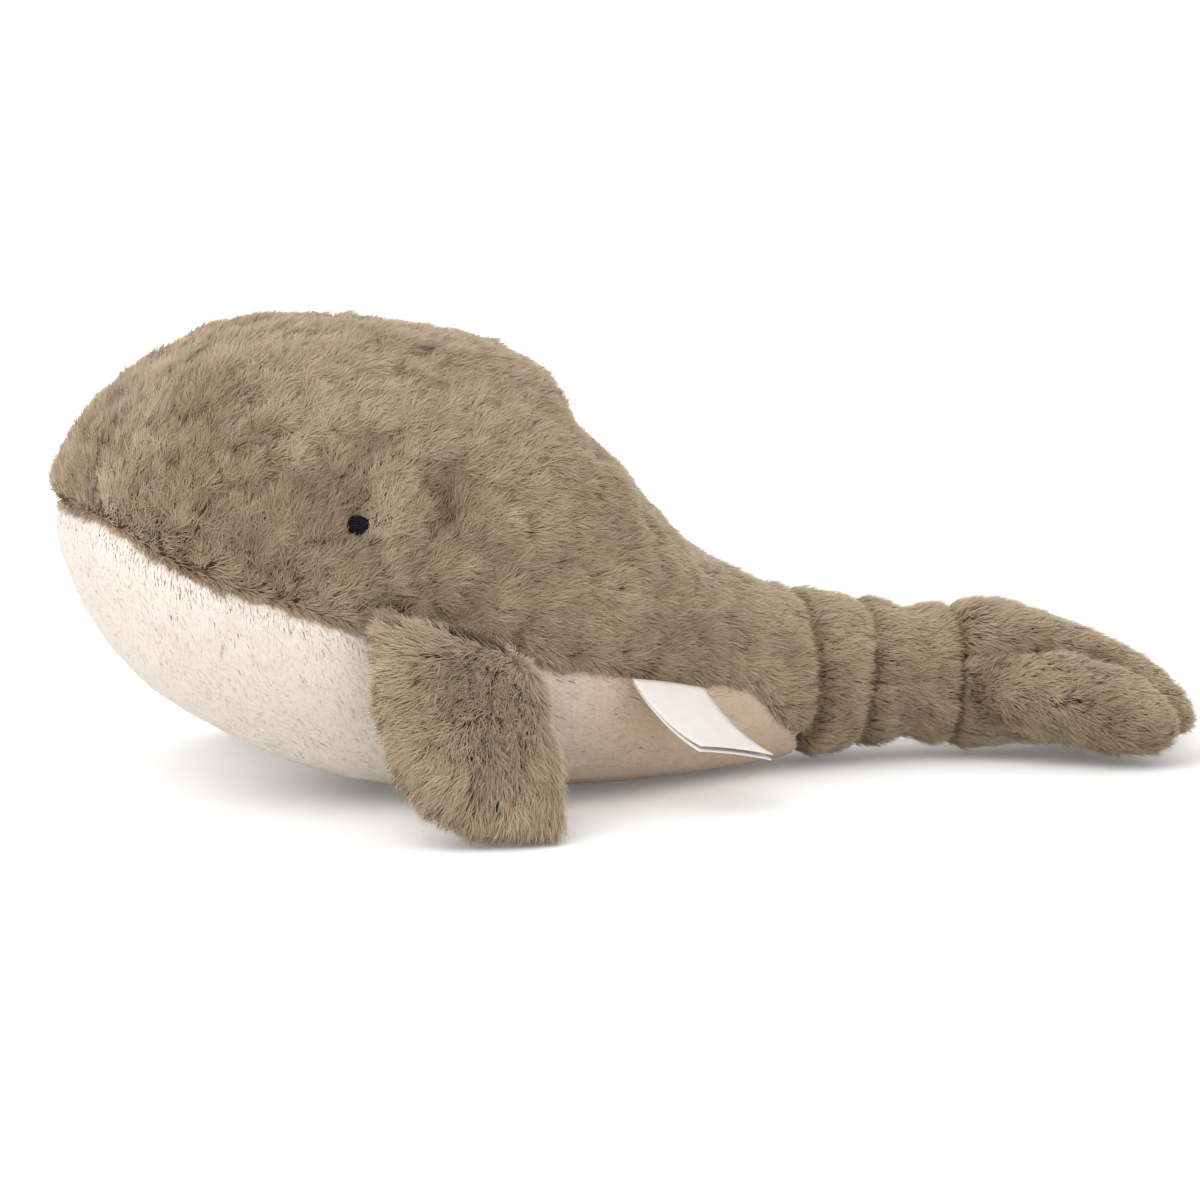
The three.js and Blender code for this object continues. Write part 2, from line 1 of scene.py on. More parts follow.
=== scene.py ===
"""A plush whale in short fur, dressed over its frame.

Each stuffed piece is a hide: a smooth skin drawn in from the frame's solids by the depth of the pile. Fur
grows on it as real strands that follow the nap, gather in tufts and part at the seams and folds.
Lengths are in metres.
"""

import json
import math
import zlib

import bmesh
import bpy
import numpy as np
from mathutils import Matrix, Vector
from mathutils.bvhtree import BVHTree


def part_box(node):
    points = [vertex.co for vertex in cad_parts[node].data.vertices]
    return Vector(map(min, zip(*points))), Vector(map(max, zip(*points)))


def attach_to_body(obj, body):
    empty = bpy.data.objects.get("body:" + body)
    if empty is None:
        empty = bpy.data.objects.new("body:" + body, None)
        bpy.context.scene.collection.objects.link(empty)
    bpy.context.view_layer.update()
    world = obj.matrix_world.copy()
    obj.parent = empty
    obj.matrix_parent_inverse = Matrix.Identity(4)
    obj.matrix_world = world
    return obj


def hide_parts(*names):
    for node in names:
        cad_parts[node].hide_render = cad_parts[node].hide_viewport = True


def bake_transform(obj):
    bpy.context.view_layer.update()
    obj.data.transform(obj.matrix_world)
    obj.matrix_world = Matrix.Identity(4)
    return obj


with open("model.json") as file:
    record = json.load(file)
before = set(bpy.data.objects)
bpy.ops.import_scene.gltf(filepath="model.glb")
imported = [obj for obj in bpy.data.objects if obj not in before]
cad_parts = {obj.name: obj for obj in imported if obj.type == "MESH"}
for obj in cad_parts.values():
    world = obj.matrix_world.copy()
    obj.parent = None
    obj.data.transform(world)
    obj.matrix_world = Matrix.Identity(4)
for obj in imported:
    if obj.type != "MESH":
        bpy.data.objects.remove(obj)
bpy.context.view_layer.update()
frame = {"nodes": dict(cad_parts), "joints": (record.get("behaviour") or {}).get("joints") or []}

MM = 0.001
JOINTS = {joint["name"]: joint for joint in frame["joints"]}

# The camera, at the photograph's angle
AZIMUTH = math.radians(-20)
ELEVATION = math.radians(10)
DISTANCE = 4.0
AIM = Vector((-0.7, 10.9, 56.8)) * MM
SENSOR = 36 * MM
FRAME_WIDTH = 402.7 * MM  # what the frame takes in at the aim

# Light
SKY = 0.92
KEY_POWER = 44  # watts
KEY_PLACE = (-1.75, -0.95, 2.1)
KEY_SIZE = 2.6
FILL_POWER = 6
FILL_PLACE = (1.4, -2.2, 1.2)
FILL_SIZE = 1.6
FLOOR_SIZE = 30
FLOOR_DROP = 0.3 * MM  # how far the floor lies under the object
FLOOR_SHADOW = 300 * MM  # how far from the object's middle the floor shows its shadow in full
FLOOR_FADE = 900 * MM  # and where the floor is plain white
FLOOR_LIFT = 0.12  # how much the floor under the object glows for the camera

# Hides
HIDE_SEED = 7
VOXEL = 2.2 * MM
RELAX_SHARE = 0.5
RELAX_TURNS = 6
WELD = 0.01 * MM
SEAM_DEPTH = 0.8 * MM
SEAM_REACH = 2.0 * MM
SEAM_OVERLAP = 1.2 * MM  # how far the taupe fur keeps above the side seam, which its tips then cover
SEAM_LAP = 3.5 * MM  # how far from the side seam the fur is combed across it
TOP_SEAM_DEPTH = 0.6 * MM
FOLD_SETBACK = 12 * MM  # from a fold's joint forward to its crease
FOLD_DEPTH = 3.4 * MM
FOLD_REACH = 2.7 * MM
FOLD_EASE = 0.65  # how much shallower a crease is on top
FOLD_WANDER = 2.4 * MM
FOLD_LEAD = 12 * MM  # how far before the first crease the hide begins to bend
FOLD_SPAN = 28 * MM  # how much of the waist at a crease the hide bridges
FLUKE_SPAN = 36 * MM  # and of the hollow where the fluke's lobes part
VALLEY_DEPTH = 7 * MM  # between the fluke's lobes
VALLEY_REACH = 3.2 * MM
ROLL_HEIGHT = 3.5 * MM  # of the far lobe over the valley
ROLL_REACH = 24 * MM
VALLEY_BEHIND = np.array([4, 24, 35, 62, 70, 78]) * MM  # its course, behind the last crease
VALLEY_ASIDE = np.array([-22, -22, -21, -25, -31, -37]) * MM  # and beside the fluke's middle
VALLEY_FADE = 10 * MM
VALLEY_WANDER = 1.2 * MM
FAR = 60 * MM  # stands for any distance past a fact's reach
SWELLS = [  # a swell's place along the whale and up, its reach and its height, under 0 where the hide sinks
    (np.array([-132, 142]) * MM, 34 * MM, 3.2 * MM),
    (np.array([-15, 127]) * MM, 17 * MM, -5.5 * MM),
    (np.array([160, 45]) * MM, 40 * MM, 3.2 * MM),
]
DENTS = [  # a dent's middle, its reach and its depth
    (np.array([-4.2, -41.2, 96.2]) * MM, 3.5 * MM, 3.0 * MM),
    (np.array([-17.1, -38.9, 118.0]) * MM, 8 * MM, 1.8 * MM),
]

# Pile
BACK_PILE = 5.0 * MM
BELLY_PILE = 3.3 * MM
FIN_PILE = 5.5 * MM
BACK_FUR = 8.2 * MM
BELLY_FUR = 6.6 * MM
TAIL_FUR = 7.0 * MM
FIN_FUR = 7.2 * MM
FIN_RIM_FUR = 9.4 * MM
FACE_END = 90 * MM  # the fur roughens from the middle of the whale to here, towards the nose
REAR_END = 60 * MM  # painted shade darkens and warms the belly behind here, towards the tail
BELLY_SHADE_START = -120 * MM  # the belly is palest in front of here
BACK_NAP = (  # places along the whale in millimetres, and the pile's slope there in degrees
    [-190, -150, -110, -70, -20, 40, 80],
    [62, 52, 38, 18, 2, -12, -4],
)
BELLY_NAP = ([-190, -150, -100, -50, 20, 60], [-88, -72, -52, -30, -12, -8])
FAN_START = 10 * MM  # the tail's pile spreads out from here behind the fluke's joint
FAN_END = 50 * MM
FAN_SOURCE = 60 * MM  # how far before that joint its lines would meet
FUR_DENSITY = 5.4e6  # strands to the square metre
STRAND_WIDTH = 0.26 * MM
ROOT_DEPTH = 0.3 * MM
STRAND_RISE = 0.35  # how many radians steeper than its stand a strand leaves the hide
STRAND_DROOP = 0.3  # and how many flatter it ends
MIDDLE_SHARE = 0.55  # of a strand's length, from its root to its widest place
TIP_SHARE = 0.5  # and from there to its tip
LOCK_GATHER = 0.3  # how much strands gather in locks, as a share of how much they do in tufts
TONE_SPAN = 0.004  # between a strand's ridge and its edge, so that its map has some width
TUFT = 1.8 * MM
LOCK = 6 * MM  # several tufts that lie alike
TUFT_WARP = 0.55  # how far the outline of a tuft or lock strays, as a share of its size
WARP_SPAN = 2.3  # and how broad its strays are
WAVE = 7 * MM  # how broad the waves are in which locks catch the light
PIECE_STRANDS = 48000
SMOOTH_STYLE = {
    "width": 0.38 * MM,
    "gather": 0.05,
    "patchy": 0.03,
    "relief": 0.05,
    "wave": 0.08,
    "uneven": 0.2,
}
FLOOR_CLEARANCE = 0.1 * MM

# Fins
FIN_SEEDS = {"left": 3, "right": 4}
FIN_TOP_RISE = 6 * MM  # how much the stuffing lifts the top of a fin
FIN_FRONT_RISE = 2.5 * MM  # and its front corner again
FIN_TOP_REACH = 16 * MM
FIN_SOURCE = np.array([50, 0, 26]) * MM  # from the joint to where the fin's fur fans out from
FIN_ROOT_FILL = 3 * MM  # how far a fin's root is pressed into the trunk's fur
FIN_ROOT_REACH = 14 * MM
FIN_TIP_REACH = 20 * MM

# Eyes
EYE_SEEDS = {"left": 5, "right": 6}
EYE_TILT = math.radians(8)
EYE_CLEARING = 4.7 * MM
EYE_WIDTH = 9.6 * MM
EYE_HEIGHT = 6.6 * MM
EYE_RISE = 4.6 * MM  # of the stitches over the hide
EYE_LIFT = np.array([0, 0, 1.2]) * MM  # the fur above covers more of an eye than the fur below
THREAD = 0.46 * MM
THREAD_PITCH = 0.34 * MM
THREAD_STEPS = 10
THREAD_SIDES = 6
THREAD_SINK = 0.4 * MM  # how deep a stitch's ends go into the hide
STITCH_STRAY = 0.3 * MM
TOP_STRAY = 0.8 * MM  # the highest stitches reach further out

# Label
LABEL_WIDTH = 35 * MM
LABEL_LENGTH = 40 * MM  # doubled
LABEL_DROOP = math.radians(40)
LABEL_CURL = math.radians(26)
RIBBON = 0.35 * MM
PLY_SPREAD = 1.5 * MM
LABEL_CLEARING = 5 * MM  # the belly's fur is shorter nearer to the label than this
LABEL_STEPS = 24
LABEL_COLUMNS = 14
LABEL_BOW = 0.5 * MM  # how much lower its long edges lie than its middle
SELVEDGE_HEIGHT = 0.12 * MM
SELVEDGE_WIDTH = 0.8 * MM


def unit(vectors):
    return vectors / np.maximum(np.linalg.norm(vectors, axis=-1, keepdims=True), 1e-9)


def smooth(value, low, high):
    """0 below low, 1 above high and an even rise between them."""
    share = np.clip((value - low) / (high - low), 0, 1)
    return share * share * (3 - 2 * share)


def bell(distance, reach):
    """1 at no distance, falling to 0 on both sides."""
    return np.exp(-((distance / reach) ** 2))


def bell_round(points, place, reach):
    return bell(np.linalg.norm(points - place, axis=1), reach)


# Noise


CELL_PRIMES = np.array([73856093, 19349663, 83492791])
SEED_PRIME = 2654435761
MIX_PRIME = 1274126177
SEED_RANGE = 9973
CELL_CODE = np.array([1, 4099, 16785407])  # makes one whole number of a cell's three


def lattice(cells, seed):
    """A random value from -1 to 1 at each whole-number point."""
    mixed = cells @ CELL_PRIMES + seed * SEED_PRIME
    mixed = (mixed ^ (mixed >> 13)) * MIX_PRIME
    mixed = mixed ^ (mixed >> 16)
    return (mixed & 0xFFFF) / 0x8000 - 1


def noise(points, size, name):
    """Smooth noise from -1 to 1 whose bumps are about that size. Each name gives another noise."""
    seed = zlib.crc32(name.encode()) % SEED_RANGE
    place = points / size
    cell = np.floor(place).astype(np.int64)
    part = place - cell
    part = part * part * (3 - 2 * part)
    total = np.zeros(len(points))
    for corner in np.ndindex(2, 2, 2):
        weight = np.prod(np.where(corner, part, 1 - part), axis=1)
        total += weight * lattice(cell + np.array(corner), seed)
    return total


def noise_vectors(points, size, name):
    return np.stack([noise(points, size, name + axis) for axis in "xyz"], axis=1)


# Materials


def colour(red, green, blue):
    """A colour given as it looks on a screen, from 0 to 255, as the linear light that a shader takes."""
    linear = [((c / 255 + 0.055) / 1.055) ** 2.4 if c > 10 else c / 255 / 12.92 for c in (red, green, blue)]
    return (*linear, 1.0)


class Nodes:
    """A short way to write a material's nodes."""

    def __init__(self, name):
        self.material = bpy.data.materials.new(name)
        self.material.use_nodes = True
        self.tree = self.material.node_tree
        self.shader = self.tree.nodes["Principled BSDF"]

    def add(self, kind, inputs=None, **settings):
        node = self.tree.nodes.new(kind)
        for key, value in settings.items():
            setattr(node, key, value)
        for key, value in (inputs or {}).items():
            self.feed(node.inputs[key], value)
        return node

    def feed(self, socket, value):
        if isinstance(value, bpy.types.NodeSocket):
            self.tree.links.new(value, socket)
        else:
            socket.default_value = value

    def ramp(self, factor, *stops):
        node = self.add("ShaderNodeValToRGB", {"Fac": factor})
        elements = node.color_ramp.elements
        elements[0].position, elements[0].color = stops[0]
        elements[1].position, elements[1].color = stops[-1]
        for position, tint in stops[1:-1]:
            elements.new(position).color = tint
        return node.outputs["Color"]

    def bump(self, height, strength, distance):
        return self.add("ShaderNodeBump", {"Strength": strength, "Distance": distance, "Height": height})

    def mix(self, factor, first, second):
        node = self.add("ShaderNodeMix", data_type="RGBA")
        self.feed(node.inputs["Factor"], factor)
        self.feed(node.inputs[6], first)
        self.feed(node.inputs[7], second)
        return node.outputs[2]

    def set(self, **values):
        for key, value in values.items():
            self.feed(self.shader.inputs[key.replace("_", " ")], value)


def fur_material(name, dark, light, sheen, glow):
    """Strand colours: u is the strand's tone, from dark to light, and v runs from its root to its tip, darker
    towards the root with painted shade deep in the pile.
    """
    nodes = Nodes(name)
    place = nodes.add("ShaderNodeUVMap", uv_map="OFBake")
    parts = nodes.add("ShaderNodeSeparateXYZ", {"Vector": place.outputs["UV"]})
    along = parts.outputs["Y"]
    tone = parts.outputs["X"]
    tint = nodes.mix(tone, nodes.ramp(along, *dark), nodes.ramp(along, *light))
    nodes.set(Base_Color=tint, Roughness=0.7)
    nodes.shader.inputs["Specular IOR Level"].default_value = 0.15
    nodes.shader.inputs["Sheen Weight"].default_value = sheen
    nodes.shader.inputs["Sheen Roughness"].default_value = 0.5
    nodes.shader.inputs["Sheen Tint"].default_value = glow
    return nodes.material


def cloth_material(name, deep, pale):
    """The knitted backing that the pile is worked into, seen only where the fur parts."""
    nodes = Nodes(name)
    place = nodes.add("ShaderNodeTexCoord").outputs["Object"]
    blotch = nodes.add("ShaderNodeTexNoise", {"Vector": place, "Scale": 90.0, "Detail": 4.0})
    knit = nodes.add("ShaderNodeTexVoronoi", {"Vector": place, "Scale": 900.0})
    bump = nodes.bump(knit.outputs["Distance"], 0.5, 0.3 * MM)
    nodes.set(Base_Color=nodes.mix(blotch.outputs["Fac"], deep, pale), Roughness=0.9)
    nodes.set(Normal=bump.outputs["Normal"])
    return nodes.material


def thread_material(name, deep, pale):
    """Twisted embroidery thread."""
    nodes = Nodes(name)
    place = nodes.add("ShaderNodeTexCoord").outputs["Object"]
    twist = nodes.add("ShaderNodeTexNoise", {"Vector": place, "Scale": 2600.0, "Detail": 3.0})
    bump = nodes.bump(twist.outputs["Fac"], 0.6, 0.1 * MM)
    nodes.set(Base_Color=nodes.mix(twist.outputs["Fac"], deep, pale), Roughness=0.65)
    nodes.set(Normal=bump.outputs["Normal"])
    nodes.shader.inputs["Specular IOR Level"].default_value = 0.2
    return nodes.material


def ribbon_material(along, out):
    """White satin ribbon, a little crumpled, with a fine weave."""
    nodes = Nodes("white_ribbon")
    place = nodes.add("ShaderNodeTexCoord").outputs["Object"]

    def ribs(way, pitch):
        spot = nodes.add("ShaderNodeVectorMath", {0: place, 1: tuple(way)}, operation="DOT_PRODUCT")
        turns = 2 * math.pi / pitch
        angle = nodes.add("ShaderNodeMath", {0: spot.outputs["Value"], 1: turns}, operation="MULTIPLY")
        return nodes.add("ShaderNodeMath", {0: angle.outputs[0]}, operation="SINE").outputs[0]

    crossing = {0: ribs(along, 0.5 * MM), 1: ribs(out, 0.34 * MM)}
    weave = nodes.add("ShaderNodeMath", crossing, operation="MULTIPLY")
    crumple = nodes.add("ShaderNodeTexNoise", {"Vector": place, "Scale": 160.0, "Detail": 2.0})
    fine = nodes.bump(weave.outputs[0], 0.25, 0.05 * MM)
    soft = nodes.bump(crumple.outputs["Fac"], 0.3, 0.6 * MM)
    nodes.feed(soft.inputs["Normal"], fine.outputs["Normal"])
    tint = nodes.mix(crumple.outputs["Fac"], colour(226, 217, 210), colour(239, 233, 228))
    nodes.set(Base_Color=tint, Roughness=0.42, Normal=soft.outputs["Normal"])
    nodes.shader.inputs["Sheen Weight"].default_value = 0.2
    return nodes.material


# The tone between the dark and the light ramp carries painted light on top and on the roll, and painted shade
# in the creases, dents and valley and in patches, besides the fur's random tone.
TAUPE_FUR = fur_material(
    "taupe_fur",
    dark=[(0.0, colour(82, 66, 48)), (0.45, colour(118, 98, 75)), (1.0, colour(158, 137, 110))],
    light=[(0.0, colour(112, 93, 70)), (0.4, colour(170, 148, 120)), (1.0, colour(214, 194, 166))],
    sheen=0.75,
    glow=colour(236, 220, 198),
)
# The dark ramp is painted shade, the warm tint of the belly in shade; the light ramp is the cream itself.
CREAM_FUR = fur_material(
    "cream_fur",
    dark=[(0.0, colour(196, 162, 136)), (0.45, colour(206, 178, 153)), (1.0, colour(216, 194, 172))],
    light=[(0.0, colour(240, 227, 212)), (0.4, colour(243, 233, 222)), (1.0, colour(245, 237, 228))],
    sheen=0.2,
    glow=colour(255, 248, 240),
)
BLACK_THREAD = thread_material("black_thread", colour(8, 9, 11), colour(24, 26, 30))
TAUPE_CLOTH = cloth_material("taupe_cloth", colour(84, 68, 50), colour(108, 90, 69))
CREAM_CLOTH = cloth_material("cream_cloth", colour(226, 198, 174), colour(240, 218, 198))


# Hides


def link(name, mesh):
    piece = bpy.data.objects.new(name, mesh)
    bpy.context.scene.collection.objects.link(piece)
    return piece


def outer_form(name, nodes, spans=()):
    """One closed smooth mesh round the outside of several of the frame's solids.

    Each span is a place, a way and a length: there the form runs straight across the waist of a fold.
    """
    joined = bmesh.new()
    for node in nodes:
        joined.from_mesh(frame["nodes"][node].data)
    bmesh.ops.remove_doubles(joined, verts=joined.verts, dist=WELD)
    corners = np.array([vertex.co for vertex in joined.verts])
    for place, way, length in spans:
        by_fold = np.abs(past(corners, place, way)) < length / 2
        bridge = [joined.verts.new(corner) for corner in corners[by_fold]]
        hull = bmesh.ops.convex_hull(joined, input=bridge)
        left_over = dict.fromkeys(hull["geom_interior"] + hull["geom_unused"])
        spare = [element for element in left_over if isinstance(element, bmesh.types.BMVert)]
        bmesh.ops.delete(joined, geom=spare, context="VERTS")
    mesh = bpy.data.meshes.new(name)
    joined.to_mesh(mesh)
    joined.free()
    piece = link(name, mesh)
    remesh = piece.modifiers.new("remesh", "REMESH")
    remesh.mode = "VOXEL"
    remesh.voxel_size = VOXEL
    relax = piece.modifiers.new("relax", "SMOOTH")
    relax.factor = RELAX_SHARE
    relax.iterations = RELAX_TURNS
    graph = bpy.context.evaluated_depsgraph_get()
    made = bpy.data.meshes.new_from_object(piece.evaluated_get(graph))
    bpy.data.objects.remove(piece)
    return made


def read(collection, attribute, kind=float):
    """An attribute of three values, as a row for each element."""
    values = np.empty(len(collection) * 3, kind)
    collection.foreach_get(attribute, values)
    return values.reshape(-1, 3)


def middle_of(node):
    low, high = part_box(node)
    return (np.array(low) + np.array(high)) / 2


def tree_of(mesh):
    return BVHTree.FromPolygons([v.co for v in mesh.vertices], [p.vertices for p in mesh.polygons])


def reach(points, nodes):
    """The distance from each point to the nearest of these solids."""
    trees = [tree_of(frame["nodes"][node].data) for node in nodes]
    return np.array([min(tree.find_nearest(Vector(p))[3] for tree in trees) for p in points])


class Hide:
    """A skin's points, their outward directions and triangles, and what else is known at each point."""

    def __init__(self, mesh):
        self.mesh = mesh
        self.points = read(mesh.vertices, "co")
        self.normals = read(mesh.vertices, "normal")
        self.facts = {}

    def draw_in(self, depth):
        self.shift(-self.normals * depth[:, None])

    def shift(self, steps):
        self.points = self.points + steps
        self.mesh.vertices.foreach_set("co", self.points.astype(np.float32).ravel())
        self.mesh.update()
        self.normals = read(self.mesh.vertices, "normal")

    def triangles(self):
        self.mesh.calc_loop_triangles()
        return read(self.mesh.loop_triangles, "vertices", np.int32)

    def rise_of(self, values):
        """The way in which a fact rises at each point, flat on the skin."""
        corners = self.triangles()
        a, b, c = (self.points[corners[:, i]] for i in range(3))
        square = unit(np.cross(b - a, c - a))
        opposite = [c - b, a - c, b - a]
        rise = sum(values[corners[:, i], None] * np.cross(square, opposite[i]) for i in range(3))
        total = np.zeros_like(self.points)
        for i in range(3):
            np.add.at(total, corners[:, i], rise)
        return unit(total)

    def nearest(self, point):
        place, normal, _, _ = tree_of(self.mesh).find_nearest(Vector(point))
        return np.array(place), np.array(normal)

    def sample(self, density, keep, rng):
        """Roots spread evenly over the triangles that keep marks, with all that is known at each."""
        triangles = self.triangles()
        triangles = triangles[keep(self.points[triangles].mean(axis=1))]
        a, b, c = (self.points[triangles[:, i]] for i in range(3))
        areas = np.linalg.norm(np.cross(b - a, c - a), axis=1) / 2
        total = areas.sum()
        count = int(total * density)
        spots = (np.arange(count) + rng.random(count)) * (total / count)
        chosen = triangles[np.minimum(np.searchsorted(np.cumsum(areas), spots), len(areas) - 1)]
        first, second = rng.random((2, count))
        folded = first + second > 1
        first[folded], second[folded] = 1 - first[folded], 1 - second[folded]
        shares = np.stack([1 - first - second, first, second], axis=1)

        def at(values):
            return np.einsum("ij,ij...->i...", shares, values[chosen])

        roots = {name: at(values) for name, values in self.facts.items()}
        roots["points"] = at(self.points)
        roots["normals"] = unit(at(self.normals))
        return roots


# Fur


def flattened(vectors, normals):
    """What is left of vectors without the part along their normals."""
    return vectors - normals * np.sum(vectors * normals, axis=1, keepdims=True)


def turned(directions, normals, angles):
    """Flat directions turned about the hide's outward direction."""
    across = np.cross(normals, directions)
    return directions * np.cos(angles)[:, None] + across * np.sin(angles)[:, None]


def tufts(points, size, name):
    """The tuft that each root belongs to, as a number, and the middle of that tuft."""
    warped = points / size + TUFT_WARP * noise_vectors(points, WARP_SPAN * size, name)
    cells = np.floor(warped).astype(np.int64)
    _, number = np.unique(cells @ CELL_CODE, return_inverse=True)
    counts = np.bincount(number)
    middles = np.stack([np.bincount(number, points[:, axis]) / counts for axis in range(3)], axis=1)
    return number, middles[number]


def grow(
    name, roots, material, rng, width=STRAND_WIDTH, gather=0.5, patchy=0.1, relief=0.5, wave=1.0, uneven=1.0
):
    """A piece of fur with one strand for each root: a thin leaf with a ridge, bent at its widest place.

    A root's nap is where its strand leans, unruly is how far it may turn from that, in radians, its length
    is the strand's, its stand is how upright the strand is, from 0, flat, to 1, square to the hide, and its
    tone is from 0, dark, to 1, light. Relief is how much the light picks out single strands, and wave how
    much it picks out the locks. Gather is how much strands close up in tufts and locks. Patchy is how much
    they differ in tone, and uneven how much in length and slope.
    """
    points, normals = roots["points"], roots["normals"]
    count = len(points)
    tuft, tuft_middles = tufts(points, TUFT, "tuft")
    lock, lock_middles = tufts(points, LOCK, "lock")
    by_tuft = rng.uniform(-1, 1, (tuft.max() + 1, 4))[tuft]
    by_lock = rng.uniform(-1, 1, (lock.max() + 1, 4))[lock]
    by_strand = rng.normal(size=(count, 7))

    turn = roots["unruly"] * (1.1 * by_tuft[:, 0] + 1.2 * by_lock[:, 0] + 1.0 * by_strand[:, 0])
    flat = turned(unit(flattened(roots["nap"], normals)), normals, turn)
    longer = 0.14 * by_tuft[:, 1] + 0.1 * by_lock[:, 1] + 0.1 * by_strand[:, 1]
    length = roots["length"] * (1 + uneven * longer)
    upright = roots["stand"] * np.pi / 2 + uneven * 0.1 * by_lock[:, 2]
    rise = upright + STRAND_RISE + uneven * (0.12 * by_tuft[:, 2] + 0.12 * by_strand[:, 2])
    droop = upright - STRAND_DROOP + uneven * (0.12 * by_tuft[:, 3] + 0.15 * by_strand[:, 3])

    def step(angle, share):
        away = flat * np.cos(angle)[:, None] + normals * np.sin(angle)[:, None]
        return away * (length * share)[:, None]

    inwards = gather * flattened(tuft_middles - points, normals)
    inwards += LOCK_GATHER * gather * flattened(lock_middles - points, normals)
    root = points - normals * ROOT_DEPTH
    middle = root + step(rise, MIDDLE_SHARE) + 0.5 * inwards
    tip = middle + step(droop, TIP_SHARE) + 0.5 * inwards

    across = unit(np.cross(normals, flat) + 0.12 * normals * by_strand[:, 4:5])
    half = 0.5 * width * (1 + 0.2 * by_strand[:, 5:6])
    leaning = unit(tip - root)
    facing = unit(flattened(normals, leaning))
    corners = [root, middle - across * half, middle + facing * half, middle + across * half, tip]
    corners = np.stack(corners, axis=1)
    corners[:, :, 2] = np.maximum(corners[:, :, 2], FLOOR_CLEARANCE)
    lit = unit(normals + wave * flattened(noise_vectors(points, WAVE, "waves"), normals))
    soft = unit(lit + relief * facing)
    turned_away = 0.75 * relief * across
    lights = [lit, unit(soft - turned_away), soft, unit(soft + turned_away), unit(soft + 0.2 * relief * flat)]
    lights = np.stack(lights, axis=1)

    tone = roots["tone"] + patchy * (by_tuft[:, 1] + 0.7 * by_lock[:, 2] + 0.8 * by_strand[:, 6])
    tone = np.clip(tone, 0.02, 0.98)
    triangles = np.array([0, 1, 2, 0, 2, 3, 2, 1, 4, 3, 2, 4])
    side = np.array([0, -1, 0, 1, 0]) * TONE_SPAN
    along = np.array([0.02, 0.5, 0.5, 0.5, 0.98])
    loops = (np.arange(count)[:, None] * len(side) + triangles).ravel()
    uv = [tone[:, None] + side[triangles], np.broadcast_to(along[triangles], (count, len(triangles)))]
    uv = np.stack(uv, axis=2)

    mesh = bpy.data.meshes.new(name)
    mesh.vertices.add(corners.size // 3)
    mesh.vertices.foreach_set("co", corners.astype(np.float32).ravel())
    mesh.loops.add(len(loops))
    mesh.loops.foreach_set("vertex_index", loops.astype(np.int32))
    mesh.polygons.add(len(loops) // 3)
    mesh.polygons.foreach_set("loop_start", np.arange(0, len(loops), 3, dtype=np.int32))
    mesh.uv_layers.new(name="OFBake").data.foreach_set("uv", uv.astype(np.float32).ravel())
    mesh.polygons.foreach_set("use_smooth", np.ones(len(loops) // 3, bool))
    mesh.update(calc_edges=True)
    mesh.normals_split_custom_set_from_vertices(lights.reshape(-1, 3).astype(np.float32))
    mesh.materials.append(material)
    return link(name, mesh)


def pick(roots, chosen):
    return {key: value[chosen] for key, value in roots.items()}


def plant(name, roots, material, slot, attach, rng, **style):
    """Fur in as many pieces, from front to rear, as keep each one light."""
    order = np.argsort(roots["points"][:, 0])
    parts = np.array_split(order, math.ceil(len(order) / PIECE_STRANDS))
    for number, part in enumerate(parts, 1):
        piece = grow(f"{name}_{number}", pick(roots, part), material, rng, **style)
        attach(piece)


# Long hide: trunk, tail rings and fluke

TRUNK_NODES = ["left_back_panel", "right_back_panel", "belly_panel", "trunk_stuffing"]
RING_NODES = [
    ["tail_root_left_panel", "tail_root_right_panel", "tail_root_stuffing"],
    ["tail_stock_left_panel", "tail_stock_right_panel", "tail_stock_stuffing"],
]
FLUKE_NODES = ["fluke_upper_panel", "fluke_lower_panel", "fluke_stuffing"]

EYES = {side: middle_of(f"{side}_eye") for side in ("left", "right")}

fold_points = [np.array(JOINTS[name]["pos_m"]) for name in ("tail_yaw", "tail_pitch", "fluke_pitch")]
fold_ways = [np.array([1.0, 0.0, 0.0])]
fold_ways += [unit(after - before) for before, after in zip(fold_points, fold_points[1:])]
creases = [point - way * FOLD_SETBACK for point, way in zip(fold_points, fold_ways)]
zone_starts = [
    creases[0] - fold_ways[0] * 1.4 * FOLD_LEAD,
    (creases[0] + creases[1]) / 2,
    (creases[1] + creases[2]) / 2,
]


def past(points, place, way):
    """How far each point lies past a place, along a way."""
    return (points - place) @ way


def zone_of(points):
    """0 on the trunk, then 1, 2 and 3 round the tail's folds."""
    return sum((past(points, start, way) > 0).astype(int) for start, way in zip(zone_starts, fold_ways))


def crease_share(points):
    """1 in the bottom of the nearest crease, falling to 0 beside it."""
    wander = FOLD_WANDER * noise(points, 24 * MM, "creases")
    off = [past(points, place, way) + wander for place, way in zip(creases, fold_ways)]
    return bell(np.min(np.abs(off), axis=0), FOLD_REACH)


def beside_valley(points):
    """How far each point lies beyond the valley between the lobes, and how far the valley has begun."""
    behind = past(points, creases[2], fold_ways[2])
    aside = past(points, creases[2], np.cross([0.0, 0.0, 1.0], fold_ways[2]))
    off = aside - np.interp(behind, VALLEY_BEHIND, VALLEY_ASIDE)
    off += VALLEY_WANDER * noise(points, 12 * MM, "valley")
    return off, smooth(behind, -0.4 * VALLEY_FADE, 0.6 * VALLEY_FADE)


def valley_share(points):
    """1 in the bottom of the valley, falling to 0 beside it."""
    off, begun = beside_valley(points)
    return bell(off, VALLEY_REACH) * begun


def roll_share(points):
    """1 on the roll that the far lobe makes along the valley."""
    off, begun = beside_valley(points)
    return smooth(off, 0, 0.2 * ROLL_REACH) * (1 - smooth(off, 0.35 * ROLL_REACH, ROLL_REACH)) * begun


